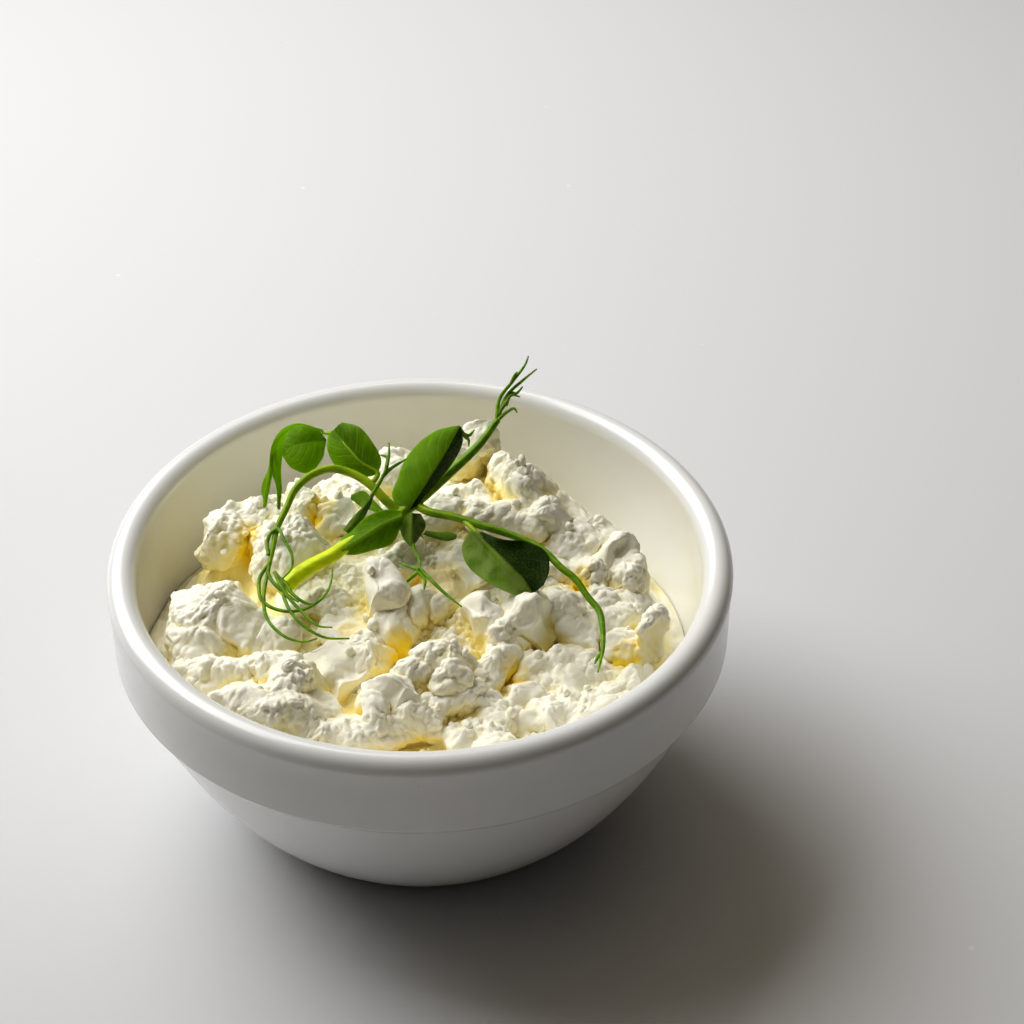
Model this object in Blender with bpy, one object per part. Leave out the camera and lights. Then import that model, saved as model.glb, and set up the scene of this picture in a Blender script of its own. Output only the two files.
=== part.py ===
"""Cottage cheese bowl: a small porcelain bowl, the heap of curds in it and the pea shoot laid on top.

The part stands on Z = 0 with the bowl's axis on Z. The bowl is one turned profile. The heap is a mound
with lumps on it that fills the bowl up to its wall. The pea shoot is one sprig: stem, two branches,
leaves and tendrils joined into one solid.
"""

import math

import bmesh
import bpy
import numpy as np
from mathutils import Vector

MM = 0.001

# Bowl, millimetres
BOWL_HEIGHT = 50.3
RIM_TUBE_RADIUS = 2.6
RIM_OUTER_RADIUS = 55.0
BAND_FOOT_RADIUS = 54.6
STEP_HEIGHT = 35.0
STEP_NOSE = 0.5
BODY_TOP_RADIUS = 54.0
FOOT_RADIUS = 31.85
BODY_BULGE = 2.7
BODY_BULGE_SHIFT = 0.72
FOOT_RING_WIDTH = 3.0
FOOT_RECESS = 1.6
CAVITY_RADIUS = 49.8
CAVITY_TOP = 47.0
CAVITY_FLOOR = 6.0
CAVITY_ROUNDNESS = 2.5
BOWL_STEPS = 60

# Heap, millimetres
FIT_GAP = 0.35
MOUND_BASE = 45.5
MOUND_RISE = 8.0
MOUND_CENTRE = (5.0, 16.0)
MOUND_SPREAD = (38.0, 30.0)
WALL_CONTACT = 40.0
WALL_CONTACT_TILT = 6.0
WALL_CONTACT_TURN = math.radians(10.0)
SHOULDER_FRONT = 47.0
SHOULDER_BACK = 31.5
SHOULDER_TURN = math.radians(25.0)
LUMP_BLEND = 0.7
LUMP_STEEPNESS = 0.75
HEAP_FLOOR = 7.0
HEAP_STEPS = 72
HEAP_TOP_RINGS = 20
HEAP_WALL_RINGS = 5

# Lumps of curd: x, y, height of the lump's top and its radius, millimetres
LUMPS = [
    (-33.5, 10.5, 49.0, 5.0),
    (-34.0, -12.0, 47.2, 9.0),
    (-25.5, -20.0, 47.4, 5.0),
    (-25.5, -33.5, 47.8, 9.0),
    (-17.0, -35.0, 46.2, 4.0),
    (-23.0, 2.0, 50.6, 6.5),
    (-20.5, 10.5, 52.5, 3.8),
    (-15.0, 9.0, 51.6, 3.6),
    (-14.0, -26.0, 46.4, 6.0),
    (-6.0, -13.0, 50.0, 4.5),
    (0.0, -11.0, 49.0, 3.2),
    (11.0, -14.0, 48.8, 4.0),
    (19.0, -14.0, 49.2, 4.8),
    (7.5, 12.0, 54.4, 5.0),
    (10.5, 27.5, 55.8, 3.2),
    (-4.0, 22.0, 54.0, 3.8),
    (17.0, 17.5, 54.2, 5.0),
    (15.0, 5.5, 52.4, 5.0),
    (23.0, 8.0, 52.0, 4.8),
    (31.0, 4.0, 50.2, 4.8),
    (36.5, -3.5, 48.6, 4.2),
    (31.0, -8.0, 48.6, 3.2),
    (39.0, -19.0, 50.0, 2.6),
    (33.5, -16.0, 47.4, 3.8),
    (6.0, -24.5, 48.4, 3.8),
    (0.5, -27.0, 47.8, 3.8),
    (5.0, -32.5, 48.2, 3.0),
    (-3.5, -34.5, 48.0, 4.8),
    (16.0, -21.0, 48.2, 3.6),
    (22.0, -24.5, 47.0, 4.8),
    (16.0, -35.0, 46.4, 4.4),
    (24.0, -35.0, 46.2, 4.6),
    (32.5, -29.0, 46.4, 4.6),
    (-11.0, -41.0, 46.0, 3.8),
]
HOLLOWS = [
    (-34.5, 3.5, 5.0, 3.0),
    (4.0, -5.0, 2.5, 4.5),
    (2.0, -45.0, 2.0, 3.0),
]

# Pea shoot, millimetres
TUBE_SIDES = 7
TENDRIL_SIDES = 4
LEAF_STEPS = 7
LEAF_ACROSS = 4
LEAF_THICKNESS = 0.7
STEM_ROUTE = [
    (-23.0, -9.0, 51.2),
    (-15.5, -4.0, 52.6),
    (-10.5, 0.0, 54.0),
    (-4.5, 3.5, 55.4),
    (0.0, 7.0, 57.0),
    (5.0, 11.5, 59.2),
    (10.5, 16.5, 62.0),
    (13.5, 20.0, 64.5),
]
STEM_RADII = (1.35, 0.62)
LEFT_BRANCH_ROUTE = [
    (-4.5, 4.5, 55.6),
    (-9.0, 8.5, 59.0),
    (-12.5, 10.5, 60.0),
    (-16.0, 11.0, 60.5),
    (-19.0, 10.0, 60.0),
    (-22.0, 7.5, 58.5),
    (-23.5, 4.5, 56.8),
    (-25.0, 0.5, 55.0),
    (-26.0, -6.5, 52.6),
]
LEFT_BRANCH_RADII = (0.8, 0.45)
RIGHT_BRANCH_ROUTE = [
    (-1.0, 6.0, 56.4),
    (5.5, 2.0, 56.8),
    (10.5, -0.5, 56.8),
    (17.5, -3.0, 55.8),
    (22.0, -6.0, 55.0),
    (27.0, -11.0, 53.2),
    (31.0, -17.0, 51.0),
    (31.5, -21.0, 50.2),
    (31.5, -24.5, 49.6),
    (30.5, -30.0, 48.6),
]
RIGHT_BRANCH_RADII = (0.75, 0.4)
BUD_STALK_ROUTE = [
    (-8.8, 8.4, 58.9),
    (-13.0, 13.2, 61.9),
    (-16.8, 17.8, 63.2),
    (-21.0, 17.4, 63.0),
    (-24.6, 15.0, 61.0),
]
BUD_STALK_RADII = (0.55, 0.35)
TENDRILS = [
    [(13.4, 19.8, 64.3), (14.0, 23.5, 67.0), (16.0, 24.5, 69.5), (17.5, 24.5, 72.0), (19.0, 25.5, 74.5)],
    [(13.4, 19.9, 64.4), (15.5, 21.0, 67.5), (18.0, 20.5, 70.5), (20.5, 21.5, 73.0)],
    [(-26.0, -6.2, 52.6), (-27.5, -11.0, 51.4), (-22.0, -16.5, 50.6), (-16.5, -14.0, 51.4), (-15.0, -8.5, 52.4)],
    [(-25.9, -6.0, 52.7), (-26.5, -14.0, 50.8), (-24.0, -20.5, 49.8), (-17.0, -22.0, 49.4)],
    [(-25.8, -6.1, 52.7), (-23.0, -13.5, 51.4), (-20.0, -19.0, 50.4), (-11.5, -22.0, 49.6)],
]
TENDRIL_RADII = (0.4, 0.22)

# Leaves: foot, tip and one side point, then how far the blade bows along and across, millimetres
LEAVES = [
    ((-8.6, 8.6, 58.8), (-17.2, 17.8, 63.2), (-10.4, 16.8, 63.4), 1.0, 1.2),
    ((-16.0, 17.2, 62.6), (-25.4, 15.2, 60.8), (-21.0, 19.0, 65.0), 0.8, 0.8),
    ((-24.2, 15.4, 61.4), (-26.0, 10.5, 52.4), (-27.6, 15.0, 58.0), -0.8, 0.4),
    ((-1.6, 6.6, 56.6), (7.0, 12.0, 69.5), (-2.6, 11.5, 62.6), 1.2, 1.2),
    ((8.6, -0.4, 56.8), (22.2, -12.0, 53.6), (20.0, -5.0, 56.6), 1.4, 1.4),
    ((-4.0, 4.4, 55.6), (-14.0, -2.8, 53.2), (-8.4, 3.4, 57.4), 0.6, 0.8),
    ((-1.4, 5.6, 56.2), (-0.4, -5.6, 52.6), (2.0, -0.4, 55.0), 0.6, 0.6),
]


def clear_scene():
    for obj in list(bpy.data.objects):
        bpy.data.objects.remove(obj, do_unlink=True)


def material(name, colour, roughness, subsurface=0.0):
    made = bpy.data.materials.new(name)
    made.use_nodes = True
    shader = made.node_tree.nodes["Principled BSDF"]
    shader.inputs["Base Color"].default_value = (*colour, 1.0)
    shader.inputs["Roughness"].default_value = roughness
    shader.inputs["Metallic"].default_value = 0.0
    shader.inputs["Subsurface Weight"].default_value = subsurface
    made.diffuse_color = (*colour, 1.0)
    return made


def finish(name, mesh_data, made_of, sharp_angle=40.0):
    obj = bpy.data.objects.new(name, mesh_data)
    bpy.context.scene.collection.objects.link(obj)
    obj.data.materials.append(made_of)
    obj.data.shade_smooth()
    obj.data.set_sharp_from_angle(angle=math.radians(sharp_angle))
    return obj


def arc(centre_r, centre_z, radius, start_degrees, end_degrees, count):
    """Points of a round stretch of a profile, both ends included."""
    angles = np.radians(np.linspace(start_degrees, end_degrees, count))
    return [(centre_r + radius * math.cos(a), centre_z + radius * math.sin(a)) for a in angles]


def body_radius(height):
    """Outer radius of the bowl under its step: a straight flare with a bulge added."""
    down = 1.0 - height / STEP_HEIGHT
    flare = BODY_TOP_RADIUS + (FOOT_RADIUS - BODY_TOP_RADIUS) * down
    hump = down * (1.0 - down)
    return flare + 4.0 * BODY_BULGE * hump + 8.0 * BODY_BULGE_SHIFT * hump * (2.0 * down - 1.0)


def cavity_radius(height):
    """Inner radius of the bowl at a height: a rounded bowl shape between its floor and its brim."""
    down = np.clip((CAVITY_TOP - height) / (CAVITY_TOP - CAVITY_FLOOR), 0.0, 1.0)
    return CAVITY_RADIUS * (1.0 - down**CAVITY_ROUNDNESS) ** (1.0 / CAVITY_ROUNDNESS)


def bowl_profile():
    """The bowl's half section from the underside's centre, out and up over the rim, down to the floor."""
    ring_inner = FOOT_RADIUS - FOOT_RING_WIDTH
    points = [(0.0, FOOT_RECESS), (ring_inner - FOOT_RECESS, FOOT_RECESS), (ring_inner, 0.0)]
    points += [(FOOT_RADIUS - 0.3, 0.0)]
    points += [(body_radius(z), z) for z in np.linspace(0.4, STEP_HEIGHT - STEP_NOSE, 8)]
    points += [(BAND_FOOT_RADIUS - 0.1, STEP_HEIGHT - 0.1), (BAND_FOOT_RADIUS, STEP_HEIGHT + STEP_NOSE)]
    tube_r = RIM_OUTER_RADIUS - RIM_TUBE_RADIUS
    tube_z = BOWL_HEIGHT - RIM_TUBE_RADIUS
    points += arc(tube_r, tube_z, RIM_TUBE_RADIUS, 0.0, 180.0, 9)
    for down in np.linspace(0.06, 0.97, 7) ** 0.8:
        height = CAVITY_TOP - down * (CAVITY_TOP - CAVITY_FLOOR)
        points.append((float(cavity_radius(height)), float(height)))
    points.append((0.0, CAVITY_FLOOR))
    return points


def make_bowl(glaze):
    work = bmesh.new()
    verts = [work.verts.new((r * MM, 0.0, z * MM)) for r, z in bowl_profile()]
    edges = [work.edges.new(pair) for pair in zip(verts, verts[1:])]
    bmesh.ops.spin(
        work,
        geom=verts + edges,
        cent=(0.0, 0.0, 0.0),
        axis=(0.0, 0.0, 1.0),
        angle=2.0 * math.pi,
        steps=BOWL_STEPS,
    )
    bmesh.ops.remove_doubles(work, verts=work.verts, dist=0.01 * MM)
    bmesh.ops.recalc_face_normals(work, faces=work.faces)
    mesh = bpy.data.meshes.new("bowl")
    work.to_mesh(mesh)
    work.free()
    return finish("bowl", mesh, glaze)


def smooth_step(value):
    held = np.clip(value, 0.0, 1.0)
    return held * held * (3.0 - 2.0 * held)


def mound_height(x, y):
    """Height of the heap without its lumps: a flat level with one broad hill behind the middle."""
    across = (x - MOUND_CENTRE[0]) / MOUND_SPREAD[0]
    along = (y - MOUND_CENTRE[1]) / MOUND_SPREAD[1]
    return MOUND_BASE + MOUND_RISE * np.exp(-across * across - along * along)


def contact_height(turn):
    """Height at which the curds meet the wall: high in front, lower at the back."""
    return WALL_CONTACT - WALL_CONTACT_TILT * np.sin(turn + WALL_CONTACT_TURN)


def heap_height(x, y):
    """Top of the heap: the mound, falling to the wall, with each lump's round top blended in."""
    turn = np.arctan2(y, x)
    reach = np.hypot(x, y)
    contact = contact_height(turn)
    wall = cavity_radius(contact) - FIT_GAP
    toward_back = smooth_step(0.5 + 0.75 * np.sin(turn + SHOULDER_TURN))
    shoulder = SHOULDER_FRONT + (SHOULDER_BACK - SHOULDER_FRONT) * toward_back
    fall = smooth_step((reach - shoulder) / np.maximum(wall - shoulder, 0.5))
    level = mound_height(x, y) - 1.2
    total = np.exp((level + (contact - level) * fall) / LUMP_BLEND)
    for lump_x, lump_y, top, radius in LUMPS:
        away = ((x - lump_x) ** 2 + (y - lump_y) ** 2) / radius**2
        total += np.exp((top - LUMP_STEEPNESS * radius * away) / LUMP_BLEND)
    height = LUMP_BLEND * np.log(total)
    for hollow_x, hollow_y, depth, radius in HOLLOWS:
        away = ((x - hollow_x) ** 2 + (y - hollow_y) ** 2) / radius**2
        height -= depth * np.exp(-away)
    return height


def make_heap(curd):
    """A closed mesh of rings: out over the top, down the wall and in to the floor, with a point at each pole."""
    turns = np.linspace(0.0, 2.0 * math.pi, HEAP_STEPS, endpoint=False)
    edge_z = contact_height(turns)
    edge_r = cavity_radius(edge_z) - FIT_GAP
    rings = []
    for share in np.linspace(0.0, 1.0, HEAP_TOP_RINGS + 1)[1:]:
        x = edge_r * share * np.cos(turns)
        y = edge_r * share * np.sin(turns)
        z = heap_height(x, y) if share < 1.0 else edge_z
        rings.append(np.stack([x, y, z], axis=1))
    for share in np.linspace(0.0, 1.0, HEAP_WALL_RINGS + 1)[1:]:
        z = edge_z + (HEAP_FLOOR - edge_z) * share
        r = cavity_radius(z) - FIT_GAP * (1.0 + share)
        rings.append(np.stack([r * np.cos(turns), r * np.sin(turns), z], axis=1))
    top = np.array([[0.0, 0.0, float(heap_height(np.zeros(1), np.zeros(1))[0])]])
    bottom = np.array([[0.0, 0.0, HEAP_FLOOR]])
    points = np.concatenate([top, *rings, bottom]) * MM
    faces = []
    last = len(points) - 1
    for step in range(HEAP_STEPS):
        after = (step + 1) % HEAP_STEPS
        faces.append((0, 1 + step, 1 + after))
        for ring in range(len(rings) - 1):
            near = 1 + ring * HEAP_STEPS
            far = near + HEAP_STEPS
            faces.append((near + step, far + step, far + after, near + after))
        outer = 1 + (len(rings) - 1) * HEAP_STEPS
        faces.append((outer + step, last, outer + after))
    mesh = bpy.data.meshes.new("cottage_cheese")
    mesh.from_pydata([tuple(p) for p in points], [], faces)
    mesh.update()
    return finish("cottage_cheese", mesh, curd, 60.0)


def smooth_route(points, per_span):
    """A Catmull-Rom curve through the points."""
    given = [Vector(p) for p in points]
    padded = [2.0 * given[0] - given[1], *given, 2.0 * given[-1] - given[-2]]
    route = []
    for index in range(1, len(padded) - 2):
        before, start, end, after = padded[index - 1 : index + 3]
        for step in range(per_span):
            t = step / per_span
            cubic = 3.0 * start - 3.0 * end + after - before
            square = 2.0 * before - 5.0 * start + 4.0 * end - after
            route.append(0.5 * (2.0 * start + (end - before) * t + square * t**2 + cubic * t**3))
    return [*route, given[-1]]


def tube_mesh(name, points, radii, sides, per_span):
    """A closed tapering tube along a smooth route, in millimetres until it is scaled."""
    route = smooth_route(points, per_span)
    work = bmesh.new()
    side = Vector((0.0, 0.0, 1.0))
    rings = []
    for index, centre in enumerate(route):
        ahead = route[min(index + 1, len(route) - 1)] - route[max(index - 1, 0)]
        ahead.normalize()
        side = (side - side.dot(ahead) * ahead).normalized()
        up = ahead.cross(side)
        radius = radii[0] + (radii[1] - radii[0]) * index / (len(route) - 1)
        ring = []
        for turn in range(sides):
            angle = 2.0 * math.pi * turn / sides
            offset = radius * (math.cos(angle) * side + math.sin(angle) * up)
            ring.append(work.verts.new((centre + offset) * MM))
        rings.append(ring)
    for near, far in zip(rings, rings[1:]):
        for turn in range(sides):
            after = (turn + 1) % sides
            work.faces.new((near[turn], near[after], far[after], far[turn]))
    work.faces.new(list(reversed(rings[0])))
    work.faces.new(rings[-1])
    bmesh.ops.recalc_face_normals(work, faces=work.faces)
    mesh = bpy.data.meshes.new(name)
    work.to_mesh(mesh)
    work.free()
    return mesh


def leaf_mesh(name, foot, tip, side_point, bow, cup):
    """A thin closed blade: an oval outline on a surface that bows along its midrib and cups across it."""
    foot = Vector(foot)
    tip = Vector(tip)
    length = tip - foot
    middle = Vector(side_point) - (foot + 0.5 * length)
    along = length.normalized()
    across = middle - middle.dot(along) * along
    half_width = across.length
    across.normalize()
    normal = along.cross(across)
    work = bmesh.new()
    layers = []
    for layer in (0.5, -0.5):
        grid = []
        for step in range(LEAF_STEPS + 1):
            share = 0.04 + 0.92 * step / LEAF_STEPS
            width = half_width * math.sin(math.pi * share**0.85) ** 0.55
            row = []
            for place in range(LEAF_ACROSS + 1):
                sideways = 2.0 * place / LEAF_ACROSS - 1.0
                lift = bow * 4.0 * share * (1.0 - share) + cup * sideways**2 * width / half_width
                thick = LEAF_THICKNESS * (1.0 - 0.3 * abs(sideways))
                point = foot + share * length + width * sideways * across
                row.append(work.verts.new((point + (lift + layer * thick) * normal) * MM))
            grid.append(row)
        layers.append(grid)
    upper, lower = layers
    for step in range(LEAF_STEPS):
        for place in range(LEAF_ACROSS):
            for grid in layers:
                work.faces.new(
                    (
                        grid[step][place],
                        grid[step][place + 1],
                        grid[step + 1][place + 1],
                        grid[step + 1][place],
                    )
                )
    top_edge = edge_loop(upper)
    low_edge = edge_loop(lower)
    for index in range(len(top_edge)):
        after = (index + 1) % len(top_edge)
        work.faces.new((top_edge[index], top_edge[after], low_edge[after], low_edge[index]))
    bmesh.ops.recalc_face_normals(work, faces=work.faces)
    mesh = bpy.data.meshes.new(name)
    work.to_mesh(mesh)
    work.free()
    return mesh


def edge_loop(grid):
    """The grid's outer points in order round it."""
    sides = [row[-1] for row in grid[1:-1]]
    back = [row[0] for row in reversed(grid[1:-1])]
    return [*grid[0], *sides, *reversed(grid[-1]), *back]


def make_pea_shoot(leaf_green):
    parts = [
        tube_mesh("left_branch", LEFT_BRANCH_ROUTE, LEFT_BRANCH_RADII, TUBE_SIDES, 2),
        tube_mesh("right_branch", RIGHT_BRANCH_ROUTE, RIGHT_BRANCH_RADII, TUBE_SIDES, 2),
        tube_mesh("bud_stalk", BUD_STALK_ROUTE, BUD_STALK_RADII, TUBE_SIDES, 2),
    ]
    for number, route in enumerate(TENDRILS):
        parts.append(tube_mesh(f"tendril_{number}", route, TENDRIL_RADII, TENDRIL_SIDES, 3))
    for number, leaf in enumerate(LEAVES):
        parts.append(leaf_mesh(f"leaf_{number}", *leaf))
    stem = tube_mesh("pea_shoot", STEM_ROUTE, STEM_RADII, TUBE_SIDES, 2)
    shoot = finish("pea_shoot", stem, leaf_green, 50.0)
    joined = bpy.data.collections.new("pea_shoot_parts")
    bpy.context.scene.collection.children.link(joined)
    for mesh in parts:
        helper = bpy.data.objects.new(mesh.name + "_guide", mesh)
        joined.objects.link(helper)
        helper.hide_render = True
        helper.display_type = "WIRE"
    union = shoot.modifiers.new("union", "BOOLEAN")
    union.operation = "UNION"
    union.operand_type = "COLLECTION"
    union.collection = joined
    union.solver = "EXACT"
    return shoot


def main():
    clear_scene()
    make_bowl(material("glazed_porcelain", (0.83, 0.83, 0.79), 0.22))
    make_heap(material("curd", (0.90, 0.86, 0.72), 0.5, 0.2))
    make_pea_shoot(material("leaf_green", (0.13, 0.30, 0.02), 0.45))


main()
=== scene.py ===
"""Looks of the cottage cheese bowl: glazed porcelain, a heap of crumbly curds and a pea shoot on top.

Sizes in the tables are millimetres in the bowl's own frame: the axis of the bowl is Z, its foot is at Z = 0,
X points right and Y away from the side that the camera looks from.
"""

import math

import bpy
import numpy as np
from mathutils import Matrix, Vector


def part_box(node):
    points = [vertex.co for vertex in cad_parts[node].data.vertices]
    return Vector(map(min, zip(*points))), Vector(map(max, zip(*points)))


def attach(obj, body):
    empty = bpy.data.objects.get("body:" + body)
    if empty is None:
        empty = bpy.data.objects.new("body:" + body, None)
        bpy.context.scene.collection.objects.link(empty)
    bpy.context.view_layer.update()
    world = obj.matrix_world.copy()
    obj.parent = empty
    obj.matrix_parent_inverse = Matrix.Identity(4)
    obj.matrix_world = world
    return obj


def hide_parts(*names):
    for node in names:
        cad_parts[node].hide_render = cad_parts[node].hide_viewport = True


bl_info = {
    "name": "Cottage Cheese Bowl",
    "version": (1, 0, 0),
    "blender": (4, 5, 0),
    "location": "View3D > Sidebar > Curd Bowl",
    "description": "Builds a porcelain bowl of cottage cheese with a pea shoot from named sizes",
    "category": "Add Mesh",
}

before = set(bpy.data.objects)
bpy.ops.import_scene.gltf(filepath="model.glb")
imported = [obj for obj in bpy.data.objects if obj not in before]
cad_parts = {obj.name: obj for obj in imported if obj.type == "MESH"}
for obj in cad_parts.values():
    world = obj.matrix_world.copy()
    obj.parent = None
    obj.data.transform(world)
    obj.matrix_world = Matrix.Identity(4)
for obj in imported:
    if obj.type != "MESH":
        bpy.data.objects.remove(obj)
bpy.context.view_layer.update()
MM = 0.001

# ---- Sizes and places ----

BOWL_HEIGHT = 1000.0 * float(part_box("bowl")[1][2])
RIM_OUTER_RADIUS = 1000.0 * float(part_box("bowl")[1][0])
RIM_TUBE_RADIUS = 2.6
STEP_HEIGHT = 35.0
BODY_TOP_RADIUS = 54.0
FOOT_RADIUS = 31.85
BODY_BULGE = 2.7
BODY_BULGE_SHIFT = 0.72
CAVITY_RADIUS = 49.8
CAVITY_TOP = 47.0
CAVITY_FLOOR = 6.0
CAVITY_ROUNDNESS = 2.5

MOUND_BASE = 45.5
MOUND_RISE = 8.0
MOUND_CENTRE = (5.0, 16.0)
MOUND_SPREAD = (38.0, 30.0)

# Lumps: reach of the join with a neighbour, widening, flat cuts with their depths and softness, gap to
# the bowl's wall
LUMP_JOIN = 2.5
LUMP_WIDENING = 1.12
LUMP_CUTS = 4
CUT_DEPTHS = (0.8, 0.97)
CUT_SOFTNESS = 0.06
LUMP_GAP = 0.25
# Broken curd: crumpling of whole lumps, widths of the round grains, the relief's middle level, and the
# crumbs' reach from the middle and their radii
CRUMPLE_REACH = 1.7
CRUMPLE_SIZE = 3.6
LARGE_GRAIN = 2.7
MIDDLE_GRAIN = 1.35
SMALL_GRAIN = 0.75
RELIEF_LEVEL = 0.55
CRUMB_REACH = 43.5
CRUMB_RADII = (0.5, 1.05)

# Packed curd under the lumps: points round and across it, gap to the wall, depth below the mound
CORE_STEPS = 440
CORE_RINGS = 200
CORE_GAP = 0.3
CORE_DROP = 5.2
# Height map: half its width, level where nothing lies, width of a cell, cells blurred each way
MAP_REACH = 52.0
MAP_LEVEL = 30.0
MAP_CELL = 0.5
MAP_BLUR = 6

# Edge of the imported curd: direction in degrees, height where it meets the wall, reach before it falls
CORE_EDGE = [
    (0, 30, 33), (60, 26, 32), (120, 26, 32), (175, 32, 33), (205, 40, 40), (225, 44, 45),
    (270, 45.5, 45.5), (315, 42, 43), (335, 34, 36), (360, 30, 33),
]
# Masses that stand out of the heap: x, y, widths across and along, and rise
HEAP_MASSES = [
    (-36, -9, 8, 8, 1.2), (-27, -31, 12, 5, 3), (-33, 13, 6, 5, 1.8), (-22, 8, 5, 9, 1.8),
    (-6.5, -9, 5, 5.5, 2.2), (3, -25, 7, 6, 2.4), (15, -11.5, 8, 5, 2), (16.5, 15, 6, 6, 2.2),
    (8, 28, 6, 5, 1), (24, 8, 5, 5, 1.4), (33, 2, 6, 6, 1.6), (39.5, -16, 3, 5, 1.5),
    (-3.5, -33, 6, 4, 1.8),
]
HEAP_SINK = 1.6
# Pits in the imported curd: x, y, width and depth
CORE_PITS = [(-36.5, 1.5, 4.5, 18), (0.5, -43.5, 3.5, 1), (3.5, -6, 4, 3), (-18, 12, 2.5, 4)]

LEAF_THICKNESS = 0.28
VEIN_COUNT = 7.0
VEIN_LEAN = 2.4

TABLE_REACH = 3000.0
CAMERA_PLACE = (16.1, -390.5, 361.8)
CAMERA_TILT = 52.24
CAMERA_LENS = 100.0
LAMP_AIM = (0.02, 0.13, 0.0)
LAMP_SPREAD = 100.0
LAMP_TINT = (0.975, 0.985, 1.0)
SKY_AIM = (-0.30, 0.45, 0.84)
SKY_EDGE = 0.45

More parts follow.
